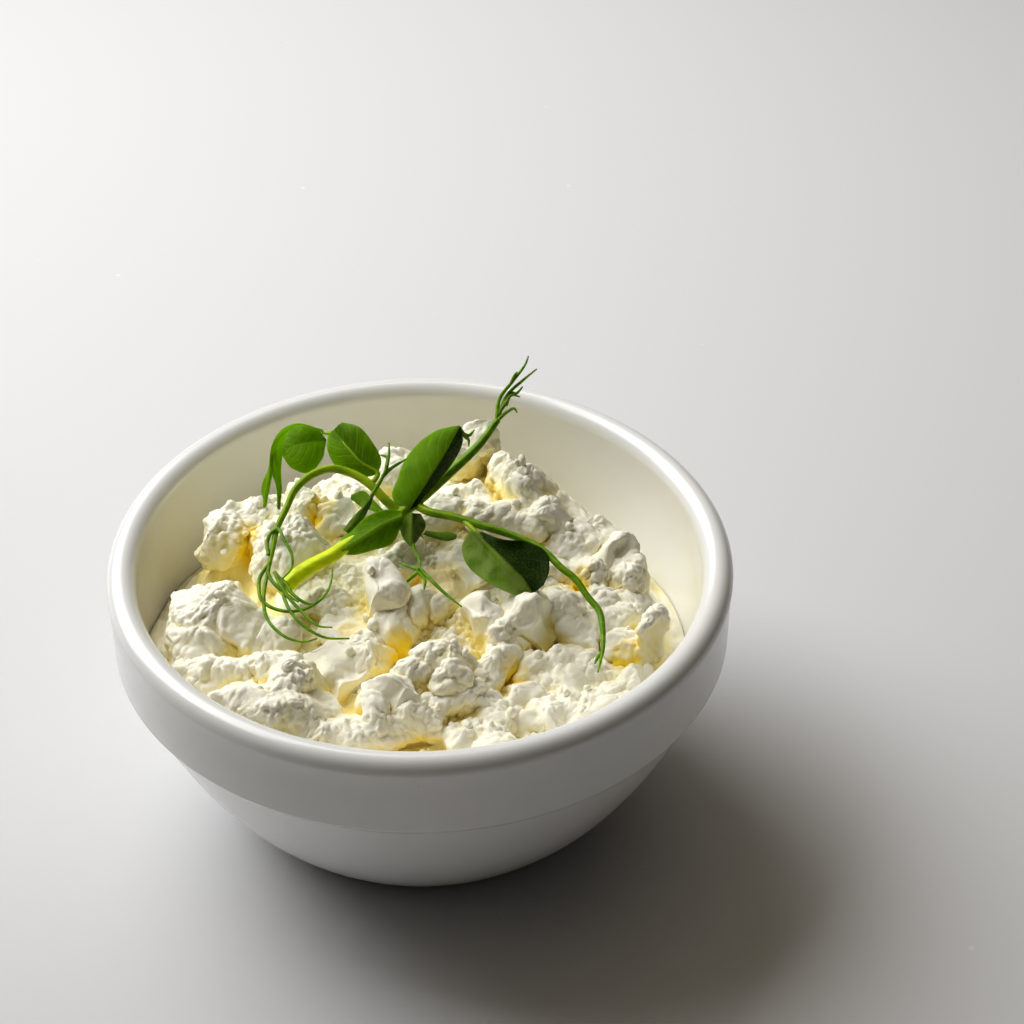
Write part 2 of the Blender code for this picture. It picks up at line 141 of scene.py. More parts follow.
# Lumps of each curd piece: x, y and height of the top, three radii, turn in degrees, smoothness
CURD_LUMPS = {
    "curds_back": [
        (8, 13.5, 55, 4.8, 4.6, 5.5, 0, 0), (10, 30, 56, 2.9, 3.2, 4.5, 0, 0),
        (6.5, 27, 54.5, 3.6, 3.6, 4, 0, 0), (-4, 23, 55, 4, 4.2, 5, 0, 0.1),
        (1.5, 11, 54, 4.4, 4.4, 4.6, 0, 0.2), (14.5, 21.5, 55, 2.6, 2.6, 4, 0, 0),
        (17, 17.5, 55, 3, 3, 4, 0, 0), (20.5, 18.5, 54, 2.7, 2.7, 3.6, 0, 0),
        (18, 14.5, 54, 3.2, 3.2, 4, 0, 0), (12, 9.5, 54, 3, 3, 3.6, 0, 0),
        (16.5, 8, 53.5, 3.4, 3.2, 3.6, 0, 0), (20, 8, 52.5, 2.8, 2.8, 3.4, 0, 0.1),
        (15, 5.5, 52.5, 3.4, 3.4, 3.6, 0, 0.1), (-9, 10, 52.5, 4.4, 4.4, 4.4, 0, 0.2),
        (-12, 19, 51, 4.6, 4.4, 4.6, 0, 0.1),
    ],
    "curds_left": [
        (-34, 12, 49, 4.9, 4.5, 5, 0, 0.15), (-29, 15.5, 50, 4.2, 4, 4.5, 20, 0.15),
        (-23.5, 5, 50.5, 6.2, 7.5, 6, 10, 0.2), (-21.5, 16, 52.5, 3.6, 3.8, 5, 0, 0.3),
        (-15.5, 11.5, 52, 3.1, 3.8, 4.5, 10, 0.7), (-35.5, -9, 48, 7.6, 7, 6.5, 30, 0.25),
        (-38.5, -15.5, 46.5, 5.2, 5.5, 5.5, 0, 0.2), (-31, -12.5, 47, 5.5, 5.5, 5, 0, 0.2),
        (-25.5, -14.5, 47, 4.6, 4.6, 4.5, 0, 0.1), (-37, -24, 46.5, 3.4, 3.4, 4, 0, 0.1),
        (-21, -5, 48.5, 4.6, 5, 4.5, 0, 0.2),
    ],
    "curds_front_left": [
        (-34, -25.5, 47.5, 3.8, 3.8, 4.5, 0, 0), (-30, -25.5, 48, 4.2, 3.8, 4.5, 0, 0),
        (-25.5, -25.5, 48.5, 4.8, 4.2, 5, 0, 0), (-20.5, -29, 47.5, 4.2, 4.2, 4.6, 0, 0),
        (-23, -34, 47, 5.2, 4.6, 5, 0, 0), (-28.5, -32.5, 46.5, 5, 4.6, 5, 0, 0),
        (-17.5, -34, 47, 4.6, 4.4, 4.6, 0, 0.1), (-15.5, -38.5, 46.5, 3.8, 3.6, 4, 0, 0.1),
    ],
    "curds_middle": [
        (-14, -24, 46.5, 7, 6.5, 5, -20, 1), (-11.5, -17.5, 47.5, 4.2, 4.2, 4.4, 0, 0.2),
        (-15.5, -8, 48.5, 4.2, 4.6, 4.6, 0, 0.2), (-13, -13.5, 48, 4.2, 4.2, 4.4, 30, 0.4),
        (-6.5, -8.5, 51, 4.4, 5.4, 6, 20, 1), (-4, -14, 49, 3.4, 4.4, 5, -10, 0.6),
        (-0.5, -10, 50, 3.2, 3.6, 4, 0, 0.5), (-8, -21.5, 47.5, 3.6, 3.6, 4, 0, 0.1),
        (4, -4, 50.5, 4.6, 6.5, 5.5, 0, 0.5), (-3.5, 1, 51.5, 4.4, 4.4, 4.6, 0, 0.2),
        (11, -11, 49, 3.2, 6.4, 5.6, 0, 1), (19, -12.5, 50, 4.8, 5.6, 6, 15, 0.9),
        (25, -10, 49.5, 3, 4.8, 5, 10, 0.1), (16, -17, 49, 2.8, 3.4, 4, 0, 0.1),
        (8.5, 0, 51.5, 4.4, 4.4, 4.6, 0, 0.2),
    ],
    "curds_right": [
        (23, 9.5, 53, 4.6, 4.6, 5.2, 0, 0.8), (27, 4.5, 51, 4.2, 4.2, 4.4, 0, 0.2),
        (31.5, 7, 51, 4.4, 4, 4.6, 0, 0.1), (34, 3.5, 50, 3.4, 3.4, 4, 0, 0.1),
        (29.5, -2, 49.5, 3.6, 3.6, 4, 0, 0), (36.5, -1, 49, 3.4, 4.6, 4.6, 0, 0.1),
        (37.5, -8, 48, 3, 4, 4.2, 0, 0.1), (31, -7, 48.5, 3, 3.2, 3.6, 0, 0),
        (33, -12, 48, 3.8, 3.8, 4, 0, 0.1), (36.5, -17.5, 47, 3.4, 3.4, 4, 0, 0.2),
        (23, 0.5, 50.5, 4.4, 4.4, 4.4, 0, 0.2), (27.5, -14, 48, 3.6, 3.8, 4, 0, 0.1),
        (39.5, -16, 49.5, 1.5, 4.2, 5.2, -35, 0.3),
    ],
    "curds_front": [
        (6, -23, 48.5, 3.2, 3, 4, 0, 0), (2, -23.5, 48.5, 2.6, 2.6, 3.6, 0, 0),
        (-0.5, -26.5, 47.5, 2.9, 2.8, 3.6, 0, 0), (5, -28.5, 48, 2.5, 2.5, 3.6, 0, 0),
        (4, -32, 47.5, 2.8, 2.8, 3.8, 0, 0), (8, -30, 47, 2.6, 2.6, 3.6, 0, 0),
        (11.5, -25, 47.5, 3.4, 3.2, 4, 0, 0), (14.5, -22.5, 48, 2.6, 2.6, 3.4, 0, 0),
        (10.5, -31.5, 46.5, 2.8, 2.8, 3.6, 0, 0), (-3.5, -32, 48, 5.6, 3.8, 4.6, -8, 0.9),
        (-6.5, -35.5, 47, 3.4, 3.2, 4.2, 0, 0.5), (-5, -39, 46.5, 4.2, 3.6, 4, 0, 0.2),
        (-10.5, -41, 46, 3.8, 3.4, 3.8, 0, 0.2), (-0.5, -37, 46.5, 3.4, 3, 3.8, 0, 0.2),
        (3, -37.5, 46.5, 3, 3, 3.6, 0, 0.1),
    ],
    "curds_front_right": [
        (21.5, -24.5, 45.8, 4.4, 4.2, 4.4, 0, 0.1), (18, -28.5, 45.8, 3.4, 3.4, 4, 0, 0.1),
        (26.5, -21.5, 46.3, 4.6, 4.6, 4.8, 0, 0.2), (25, -28, 45.3, 4.4, 4.2, 4.4, 0, 0.2),
        (31, -23, 45.8, 4, 4, 4.4, 0, 0.2), (15.5, -34, 45.3, 3.8, 3.6, 4, 0, 0),
        (12, -37.5, 45.3, 3.4, 3.2, 3.8, 0, 0), (8.5, -40.5, 44.8, 3.4, 3.2, 3.6, 0, 0),
        (21, -34, 45.3, 3.8, 3.6, 4, 0, 0.1), (24.5, -36, 45.3, 3.8, 3.6, 4, 0, 0.1),
        (29, -33, 45.3, 4, 3.8, 4.2, 0, 0.2), (34, -28.5, 45.3, 4, 3.8, 4.2, 0, 0.2),
        (38, -25.5, 45.3, 2.6, 2.8, 3.4, 0, 0.1), (14, -42.5, 44.8, 3, 2.8, 3.2, 0, 0),
    ],
}

# Buttery hollows: x, y, z and reach of the yellow
YELLOW_SPOTS = [
    (0.8, -43.6, 43.5, 3.8), (-18, 13, 49, 2.6), (-30.5, 7.5, 46.5, 2.6), (3.5, -4, 49, 4),
    (-3, -19, 46.5, 2.4), (35.5, -21, 45.5, 2.6), (28, -4.5, 48, 2), (17, -25, 46, 2.4),
    (-12, -15.5, 46.5, 2),
]

STEM = [
    (-24, -10.5, 50.2), (-19.5, -6.5, 51.8), (-15.5, -4, 52.6), (-10.5, 0, 54), (-4.5, 3.5, 55.4),
    (0, 7, 57), (5, 11.5, 59.2), (10.5, 16.5, 62), (13.5, 20, 64.5),
]
STEM_RADII = (1.45, 1.25, 1.1, 0.95, 0.6)
LEFT_BRANCH = [
    (-3.5, 4.2, 55.6), (-6.5, 6.5, 57.4), (-9, 8.5, 59), (-12.5, 10.5, 60), (-16, 11, 60.5), (-19, 10, 60),
    (-22, 7.5, 58.5), (-23.5, 4.5, 56.6), (-25, 0.5, 55), (-25.5, -3, 53.6), (-26, -6.5, 52.6),
]
LEFT_BRANCH_RADII = (0.85, 0.75, 0.7, 0.55, 0.4)
RIGHT_BRANCH = [
    (-1, 6, 56.4), (1.5, 3.6, 56.6), (5.5, 2, 56.8), (10.5, -0.5, 56.8), (17.5, -3, 55.8), (22, -6, 55),
    (24.5, -9, 54.2), (27, -11, 53.2), (29, -14, 51.9), (31, -17, 51), (31.5, -21, 50.2),
    (31.5, -24.5, 49.6), (30.5, -30, 48.6),
]
RIGHT_BRANCH_RADII = (0.8, 0.7, 0.65, 0.6, 0.55, 0.18)
TENDRILS = {
    "tip_long": [(13.3, 19.7, 64.2), (14, 23.5, 67), (16, 24.5, 69.5), (18.5, 26, 72.5), (19, 25.5, 74.5)],
    "tip_second": [(13.5, 20.5, 64.6), (15.5, 24, 67.5), (18, 24.5, 70), (20.5, 24.5, 72.5)],
    "tip_third": [(15, 22.5, 66), (16, 24, 67.5), (17, 23.5, 68), (18, 24, 69)],
    "tip_low": [(13.6, 20, 64.6), (15.5, 21.5, 65.5), (16.5, 21.5, 66), (17, 21, 65.5)],
    "tip_curl": [(14, 21.5, 65.5), (15, 22.5, 66.5), (16, 23.5, 67.5), (17.5, 23, 67.5)],
    "tip_bud": [(16, 24.5, 69.5), (16.5, 25, 70.5), (17, 25, 71.5)],
    "hook": [
        (-26.2, -4.5, 53.4), (-26.5, -1.5, 54.2), (-26, -0.5, 55), (-25, 0, 55.5), (-23.5, -3, 55.5),
        (-22, -6, 54.5), (-22, -8.5, 53.5), (-23.5, -10, 52.5),
    ],
    "basket_outer": [
        (-26, -6, 52.7), (-27.5, -9, 51.8), (-27.5, -11, 51.4), (-27, -13.5, 50.9), (-22, -16.5, 50.6),
        (-18.5, -15.5, 50.8), (-16.5, -14, 51.4), (-15, -9.5, 52.2), (-15, -7.5, 52.6),
    ],
    "basket_low": [
        (-26, -6.5, 52.6), (-26.5, -14, 50.8), (-26, -17, 50.2), (-24, -20.5, 49.8), (-21.5, -22.5, 49.5),
        (-19, -23, 49.3), (-17, -22, 49.2),
    ],
    "basket_right": [
        (-25, -8, 52.4), (-23.5, -10.5, 51.9), (-23, -13.5, 51.2), (-20, -19, 50.2), (-15.5, -22, 49.4),
        (-11.5, -22, 49.2),
    ],
    "basket_short": [
        (-24.8, -8.4, 52.4), (-23.5, -11.5, 51.8), (-19.5, -17, 50.6), (-16.5, -20, 50.2), (-14.5, -20, 50),
    ],
    "basket_inner": [
        (-24.6, -8.8, 52.3), (-23, -10.5, 52), (-21.5, -13, 51.5), (-18, -15, 51), (-16.5, -14, 51.2),
    ],
    "basket_cross": [(-26.2, -8, 52.4), (-25.5, -9.5, 52), (-24, -11.5, 51.6), (-20.5, -14.5, 51)],
    "bract_tail": [(-8.5, 5, 59), (-7, 6.5, 61), (-6, 8, 62.5), (-5.5, 10, 64), (-5.5, 12, 65.5)],
    "bract_hook": [(-5.9, 8.2, 62.6), (-6, 10.5, 63.5), (-7, 11, 63.5)],
    "bract_side": [(-6.6, 7.2, 61.6), (-5, 8.5, 62.5), (-2.5, 10.5, 63)],
    "hang_stalk": [(-1.4, -1, 53.6), (-0.8, -3, 53), (0, -5, 52.6), (0, -8.5, 52.2)],
    "hang_left": [(0, -7.5, 52.5), (-2, -6, 52.1), (-3.5, -5, 52)],
    "hang_low": [(0, -7.6, 52.3), (-1, -8.5, 51.9), (-2.5, -10, 51.4)],
    "hang_down": [(0, -8, 52.3), (1, -9.5, 51.9), (1, -11.5, 51.4)],
    "hang_long": [(0.2, -7.2, 52.4), (2, -9.5, 52), (4.5, -12.5, 51.4), (7.5, -15.5, 50.8)],
    "branch_fork": [(31.4, -25.5, 49.4), (30.6, -26.5, 49), (30, -28, 48.7)],
    "leaf_wisp": [(7, 12, 68.5), (8, 11.5, 67), (8.5, 12, 66), (8.5, 11.5, 65)],
    "leaf_curl": [(7.2, 11.8, 67.8), (8.5, 12, 67), (9.5, 13, 67.5)],
}
STALK_RADII = (0.5, 0.42, 0.36, 0.3)
TENDRIL_RADII = (0.36, 0.33, 0.28, 0.14)

# Leaves: left edge, midrib and right edge from foot to tip, then bloom, brightness and the painted shade of
# the right half
LEAVES = {
    "leaf_round": {
        "left": [(-17, 17.5, 62), (-17.5, 14, 60.5), (-20, 11, 59.5), (-23, 12, 60), (-24.5, 14, 61)],
        "rib": [(-17, 17.5, 62), (-19.5, 15.5, 63), (-22, 14.5, 63), (-24.5, 14, 62)],
        "right": [(-17, 17.5, 62), (-18.5, 18, 64), (-21, 18, 65), (-23.5, 17.5, 64), (-24.5, 16, 62.5)],
        "looks": (0, 0.68, 0.1),
    },
    "leaf_fan": {
        "left": [(-7.5, 10, 60), (-10.5, 10.5, 59), (-14.5, 11.5, 60), (-16.5, 14, 62), (-16.5, 17, 63.5)],
        "rib": [(-7.5, 10, 60), (-10.5, 11.5, 61.5), (-13, 14, 63), (-15.5, 18, 64)],
        "right": [(-7.5, 10, 60), (-7, 12, 61.5), (-8.5, 14, 64), (-11, 16, 66), (-14, 18, 65.5)],
        "looks": (0, 0.6, 0.2),
    },
    "leaf_bud": {
        "left": [
            (-17.5, 18.5, 63.5), (-21, 18, 65), (-24, 17.5, 64.5), (-26.5, 17, 61.5), (-27, 15, 58.5),
            (-26, 12.5, 55.5), (-25.5, 9.5, 52.5),
        ],
        "rib": [
            (-17.5, 19, 63), (-21, 18.5, 64), (-23.5, 18.5, 63.5), (-26, 17, 61), (-26, 15, 58),
            (-25.5, 12.5, 55), (-25.4, 9.5, 52.4),
        ],
        "right": [
            (-18, 19, 62.5), (-21, 19.5, 63), (-23.5, 18.5, 62.5), (-24.5, 17.5, 60), (-25, 15, 57.5),
            (-25, 13, 55), (-25.3, 9.5, 52.4),
        ],
        "looks": (0, 1.7, 0.1),
    },
    "leaf_bud_strand": {
        "left": [(-27, 16.5, 60), (-27.5, 15, 57), (-28.5, 13, 55), (-28, 10.5, 52.5)],
        "rib": [(-26.5, 16.5, 60), (-27, 14.5, 57), (-27.5, 12.5, 55), (-28, 10, 52.5)],
        "right": [(-26, 16, 60), (-26.5, 14.5, 57), (-27, 13, 55), (-27.6, 10.5, 52.5)],
        "looks": (0, 1, 0),
    },
    "leaf_upright": {
        "left": [
            (-3, 3.5, 56), (-5, 7.5, 57.5), (-4, 9.5, 59.5), (-3, 11.5, 61.5), (-0.5, 13, 64.5),
            (3, 13, 67.5), (7, 11.5, 69.5),
        ],
        "rib": [(-2, 4, 56.5), (-0.5, 5.5, 58.5), (2, 7.5, 62), (4.5, 9.5, 65.5), (7, 11.5, 69.4)],
        "right": [
            (-0.5, 5, 57), (2, 8, 58.5), (5, 10.5, 61), (7, 12, 64), (7.5, 11.5, 67), (7.1, 11.5, 69.3),
        ],
        "looks": (0.05, 0.6, 1),
    },
    "leaf_right": {
        "left": [
            (9, -2, 57), (7.5, -3.5, 55), (8, -6.5, 53.5), (11, -10, 52.5), (14.5, -12.5, 52),
            (18, -14, 51.5),
        ],
        "rib": [(9.5, -2.5, 57), (12.5, -6, 56), (15.5, -10, 55), (18, -12, 53.5), (19.5, -13.5, 52)],
        "right": [
            (11, -2.5, 57), (15, -5.5, 57.5), (19, -5.5, 57), (22, -7, 56), (22.5, -10, 54.5),
            (21.5, -12.5, 53),
        ],
        "looks": (0.95, 0.35, 0.95),
    },
    "leaf_wing": {
        "left": [(-3, 3.5, 57), (-6, 3, 57.5), (-9, 2, 57), (-12, 0, 55), (-14, -1.5, 54), (-14.5, -3, 53)],
        "rib": [(-3, 2, 56.8), (-6, 0.5, 56.4), (-9, -1.5, 55.6), (-12, -3, 54.4), (-14, -3.6, 53.2)],
        "right": [(-3, 1, 55.5), (-5, -1, 53), (-8, -2, 52.5), (-11.5, -2.8, 52), (-14, -3.2, 52.5)],
        "looks": (0, 0.6, 0.2),
    },
    "leaf_bract": {
        "left": [(-13.5, 1, 54.5), (-12.5, 2, 55.5), (-11, 3, 57), (-9, 4.5, 58.5), (-8, 6, 59.5)],
        "rib": [(-13, 0.5, 54.6), (-11.5, 1.6, 55.8), (-10, 3.1, 57.2), (-8.8, 4.4, 58.6), (-8, 5.9, 59.6)],
        "right": [(-12.5, 0.5, 54), (-10.5, 2, 55), (-9.5, 3, 56.5), (-8.5, 4.5, 58), (-7.9, 6, 59.5)],
        "looks": (0.9, 0.4, 0.3),
    },
    "leaf_pale": {
        "left": [(-12.5, 10, 55.5), (-10.5, 10.5, 56), (-8.5, 8, 56), (-6.5, 5.5, 55.5)],
        "rib": [(-12.5, 9.5, 55), (-10.5, 9, 55.5), (-8.5, 7, 55.5), (-6.5, 5.3, 55.2)],
        "right": [(-12, 9, 55), (-10.5, 7.5, 54.5), (-9, 6, 55), (-6.8, 5, 55)],
        "looks": (0.7, 1, 0),
    },
    "leaf_hanging": {
        "left": [(-2.5, 4, 56), (-3.5, 2, 55), (-3, 0, 53.8), (-1.8, -1.6, 53.1)],
        "rib": [(-1.5, 3, 56.8), (-1.5, 1, 55.9), (-1.5, -0.8, 54.4), (-1.5, -1.9, 53.2)],
        "right": [(0, 4, 56), (1, 2, 55), (0, 0, 53.8), (-1.2, -1.7, 53.1)],
        "looks": (0.8, 0.3, 0.4),
    },
    "leaf_small": {
        "left": [(1, -0.5, 55.7), (3, -1, 55.7), (5.5, -1, 55.7), (6.5, -1.5, 55.5)],
        "rib": [(1, -0.7, 55.4), (3, -1.6, 55.3), (5.5, -1.8, 55.2), (6.5, -1.6, 55.3)],
        "right": [(0.5, -0.8, 55), (3, -2, 55), (5.5, -2.5, 55), (6.4, -2, 55)],
        "looks": (0.3, 0.3, 0.3),
    },
}
LEAF_STALKS = {
    "stalk_pair": [
        (-8.8, 8.4, 58.9), (-7.6, 10, 59.9), (-10.5, 11.6, 61.4), (-13, 14.1, 62.9), (-16, 17.6, 63.2),
        (-17.6, 18.6, 62.8),
    ],
    "stalk_right": [(7.5, 1, 56.8), (9.5, -2, 56.9), (12, -5.4, 56.1)],
}


# ---- Meshes from whole arrays ----


def mesh_object(name, points, quads, triangles=None):
    """Puts points (millimetres) and corner arrays into one mesh object at the origin."""
    mesh = bpy.data.meshes.new(name)
    triangles = np.zeros((0, 3), np.int32) if triangles is None else triangles
    corners = np.concatenate([quads.reshape(-1), triangles.reshape(-1)]).astype(np.int32)
    sizes = np.concatenate([np.full(len(quads), 4), np.full(len(triangles), 3)]).astype(np.int32)
    starts = np.concatenate([[0], np.cumsum(sizes)[:-1]]).astype(np.int32)
    mesh.vertices.add(len(points))
    mesh.vertices.foreach_set("co", (points * MM).astype(np.float32).reshape(-1))
    mesh.loops.add(len(corners))
    mesh.loops.foreach_set("vertex_index", corners)
    mesh.polygons.add(len(sizes))
    mesh.polygons.foreach_set("loop_start", starts)
    mesh.polygons.foreach_set("use_smooth", np.full(len(sizes), True))
    mesh.update(calc_edges=True)
    mesh.validate()
    obj = bpy.data.objects.new(name, mesh)
    bpy.context.scene.collection.objects.link(obj)
    return obj


def set_point_values(obj, name, values):
    """Stores one number for each point as a named attribute."""
    layer = obj.data.attributes.new(name, "FLOAT", "POINT")
    layer.data.foreach_set("value", values.astype(np.float32))


def unit(vectors):
    """Vectors of length 1 along the given ones."""
    return vectors / np.maximum(np.linalg.norm(vectors, axis=-1), 1e-9)[..., None]


def ring_quads(rows, columns):
    """Corners of the quads between rings of points stored ring by ring, each ring closing on itself."""
    row = np.arange(rows - 1)[:, None]
    column = np.arange(columns)[None, :]
    after = (column + 1) % columns
    corners = [row * columns + column, row * columns + after]
    corners += [(row + 1) * columns + after, (row + 1) * columns + column]
    return np.stack(np.broadcast_arrays(*corners), axis=-1).reshape(-1, 4)


def closed_stack(rings, first_pole, last_pole):
    """A closed surface from rings of points (rows x columns x 3) and a point at each end.

    The first pole joins the first ring, the last pole the last one, and the faces point outwards when the
    rings turn anticlockwise seen from the last pole's side.
    """
    rows, columns = rings.shape[:2]
    points = np.concatenate([rings.reshape(-1, 3), [first_pole], [last_pole]])
    quads = ring_quads(rows, columns)
    here = np.arange(columns)
    after = (here + 1) % columns
    low = np.full(columns, rows * columns)
    high = low + 1
    bottom = np.stack([low, after, here], axis=-1)
    top_row = (rows - 1) * columns
    top = np.stack([high, top_row + here, top_row + after], axis=-1)
    return points, quads, np.concatenate([bottom, top])


def turned(profile, steps):
    """Rings of a profile (radius, height) carried round the Z axis, one ring for each profile point."""
    turns = np.linspace(0.0, 2.0 * math.pi, steps, endpoint=False)
    radius = profile[:, 0][:, None]
    height = np.broadcast_to(profile[:, 1][:, None], (len(profile), steps))
    return np.stack([radius * np.cos(turns), radius * np.sin(turns), height], axis=-1)


def unit_ball(rows, columns):
    """A closed ball of radius 1, as rings from its bottom to its top."""
    polar = np.linspace(math.pi, 0.0, rows + 2)[1:-1]
    rings = turned(np.stack([np.sin(polar), np.cos(polar)], axis=1), columns)
    return closed_stack(rings, [0.0, 0.0, -1.0], [0.0, 0.0, 1.0])


def smooth_step(value):
    """A soft step from 0 to 1 as the value goes from 0 to 1: 3 v^2 - 2 v^3."""
    held = np.clip(value, 0.0, 1.0)
    return held * held * (3.0 - 2.0 * held)


def curve_through(points, count):
    """count points of a smooth curve through the given points.

    The curve is a cubic between each two points, and its slope at a point is the slope from the point before
    to the point after.
    """
    given = np.asarray(points, float)
    steps = np.linalg.norm(np.diff(given, axis=0), axis=1)
    place = np.concatenate([[0.0], np.cumsum(np.maximum(steps, 1e-6))])
    slope = np.gradient(given, place, axis=0)
    wanted = np.linspace(0.0, place[-1], count)
    span = np.clip(np.searchsorted(place, wanted, side="right") - 1, 0, len(given) - 2)
    width = (place[span + 1] - place[span])[:, None]
    t = (wanted - place[span])[:, None] / width
    start, end = given[span], given[span + 1]
    leave, arrive = slope[span] * width, slope[span + 1] * width
    return (
        (2.0 * t**3 - 3.0 * t**2 + 1.0) * start
        + (t**3 - 2.0 * t**2 + t) * leave
        + (3.0 * t**2 - 2.0 * t**3) * end
        + (t**3 - t**2) * arrive
    )


# ---- Uneven surfaces ----


def lattice_hash(cells, seed):
    """A repeatable 30 bit number for each whole-number cell."""
    x, y, z = (cells[..., axis].astype(np.int64) & 0xFFFFFFFF for axis in range(3))
    number = (x * 73856093) ^ (y * 19349663) ^ (z * 83492791) ^ (seed * 2654435761)
    number = (number & 0xFFFFFFFF) * 668265263 & 0xFFFFFFFF
    number = (number ^ (number >> 15)) * 2246822519 & 0xFFFFFFFF
    return (number ^ (number >> 13)) & 0x3FFFFFFF


def soft_noise(points, size, seed):
    """Values from -1 to 1 that change smoothly over the given size."""
    place = points / size
    cell = np.floor(place)
    t = place - cell
    t = t * t * (3.0 - 2.0 * t)
    total = np.zeros(points.shape[:-1])
    for corner in range(8):
        step = np.array([corner & 1, corner >> 1 & 1, corner >> 2 & 1])
        share = np.prod(np.where(step == 1, t, 1.0 - t), axis=-1)
        total += share * (lattice_hash(cell + step, seed) / 0x1FFFFFFF - 1.0)
    return total


def soft_shift(points, size, seed):
    """A slowly changing vector at each point, with parts from -1 to 1."""
    return np.stack([soft_noise(points, size, seed + axis) for axis in range(3)], axis=-1)


def granules(points, size, seed, fill):
    """Round grains: how high the nearest ball stands at each point, with one ball in each cell.

    Height = sqrt(1 - (distance to the ball's centre / fill)^2), with distances in cells.
    """
    place = points / size
    cell = np.floor(place)
    inside = place - cell
    nearest = np.full(points.shape[:-1], 9.0)
    for index in range(27):
        step = np.array([index % 3 - 1, index // 3 % 3 - 1, index // 9 - 1])
        number = lattice_hash(cell + step, seed)
        gap = step[0] + (number & 1023) / 1023.0 - inside[..., 0]
        away = gap * gap
        gap = step[1] + (number >> 10 & 1023) / 1023.0 - inside[..., 1]
        away += gap * gap
        gap = step[2] + (number >> 20) / 1023.0 - inside[..., 2]
        away += gap * gap
        nearest = np.minimum(nearest, away)
    return np.sqrt(np.clip(1.0 - nearest / fill**2, 0.0, 1.0))


def curd_relief(points):
    """Relief of broken curd in millimetres, and how deep each point lies in its creases from 0 to 1.

    Three sizes of round grain stand on each other over a slow swell, as in a cauliflower's head. In patches
    the small grains fade, so that smooth cream shows between crumbly places.
    """
    bent = points + 0.6 * soft_shift(points, 3.0, 11)
    swell = soft_noise(points, 5.5, 1) + 0.4 * soft_noise(points, 2.4, 2)
    patch = smooth_step(0.62 + 1.1 * soft_noise(points, 4.5, 8))
    large = granules(bent, LARGE_GRAIN, 5, 0.78)
    middle = granules(bent, MIDDLE_GRAIN, 6, 0.72)
    small = granules(points, SMALL_GRAIN, 7, 0.74)
    height = 0.55 * swell + (0.2 + 0.35 * patch) * large + (0.22 + 0.5 * patch) * middle
    height += (0.12 + 0.24 * patch) * small
    crease = 1.0 - (0.5 * large + 0.35 * middle + 0.15 * small)
    return height - RELIEF_LEVEL, crease


def body_radius(height):
    """Outer radius of the bowl under its rim band: a line from foot to band, swelled out twice over."""
    down = 1.0 - height / STEP_HEIGHT
    hump = down * (1.0 - down)
    flare = BODY_TOP_RADIUS + (FOOT_RADIUS - BODY_TOP_RADIUS) * down
    return flare + 4.0 * BODY_BULGE * hump + 8.0 * BODY_BULGE_SHIFT * hump * (2.0 * down - 1.0)


def bowl_profile(step_depth):
    """Half section of the bowl as radius and height, from under its foot over the rim to its inside."""
    foot = [(0, 1.6), (9, 1.6), (18, 1.6), (27, 1.6), (27.5, 1.5), (28.6, 0.2), (28.9, 0), (31.4, 0)]
    rise = np.linspace(0.25, STEP_HEIGHT - 0.6, 50)
    body = np.column_stack([body_radius(rise), rise])
    start = BODY_TOP_RADIUS + 0.1
    step = [(start + step_depth * up, STEP_HEIGHT - 0.45 + 0.8 * up) for up in (0.0, 0.4, 0.8, 1.0)]
    band_top = BOWL_HEIGHT - RIM_TUBE_RADIUS
    straight = band_top - STEP_HEIGHT - 1.5
    band = [
        (start + step_depth + 0.2 * up, STEP_HEIGHT + 0.7 + straight * up) for up in (0.0, 0.33, 0.66, 1.0)
    ]
    turn = np.linspace(0.0, math.pi, 25)
    centre = RIM_OUTER_RADIUS - RIM_TUBE_RADIUS
    rim = np.column_stack([np.cos(turn), np.sin(turn)]) * RIM_TUBE_RADIUS + (centre, band_top)
    fall = CAVITY_FLOOR + (CAVITY_TOP - 0.4 - CAVITY_FLOOR) * (1.0 - np.linspace(0.0, 1.0, 45)) ** 1.6
    wall = np.column_stack([cavity_radius(fall), fall])[:-1]
    floor = [(reach, CAVITY_FLOOR) for reach in (3.0, 1.0, 0.0)]
    return np.concatenate([foot, body, step, band, rim, wall, floor])


def mound_height(x, y):
    """Height of the heap without its lumps: a flat level with one broad hill behind the middle."""
    across = (x - MOUND_CENTRE[0]) / MOUND_SPREAD[0]
    along = (y - MOUND_CENTRE[1]) / MOUND_SPREAD[1]
    return MOUND_BASE + MOUND_RISE * np.exp(-across * across - along * along)


def cavity_radius(height):
    """Inner radius of the bowl at a height: a rounded bowl shape between its floor and its brim."""
    down = np.clip((CAVITY_TOP - height) / (CAVITY_TOP - CAVITY_FLOOR), 0.0, 1.0)
    return CAVITY_RADIUS * (1.0 - down**CAVITY_ROUNDNESS) ** (1.0 / CAVITY_ROUNDNESS)


def keep_in_bowl(points, gap):
    """Pulls points that would pass through the bowl's wall back to it."""
    reach = np.hypot(points[:, 0], points[:, 1])
    wall = cavity_radius(points[:, 2]) - gap
    share = np.minimum(1.0, wall / np.maximum(reach, 1e-6))
    points[:, :2] *= share[:, None]
    return points


# ---- Curds ----


def lump_distance(points, row):
    """About how far points lie outside a lump's plain rounded shape, and less than 0 inside it."""
    x, y, top, radius_x, radius_y, radius_z, turn, _ = row
    angle = math.radians(turn)
    gap = points - (x, y, top - radius_z)
    along = (gap[:, 0] * math.cos(angle) + gap[:, 1] * math.sin(angle)) / radius_x
    side = (gap[:, 1] * math.cos(angle) - gap[:, 0] * math.sin(angle)) / radius_y
    reach = np.sqrt(along**2 + side**2 + (gap[:, 2] / radius_z) ** 2)
    return (reach - 1.0) * min(radius_x, radius_y, radius_z)


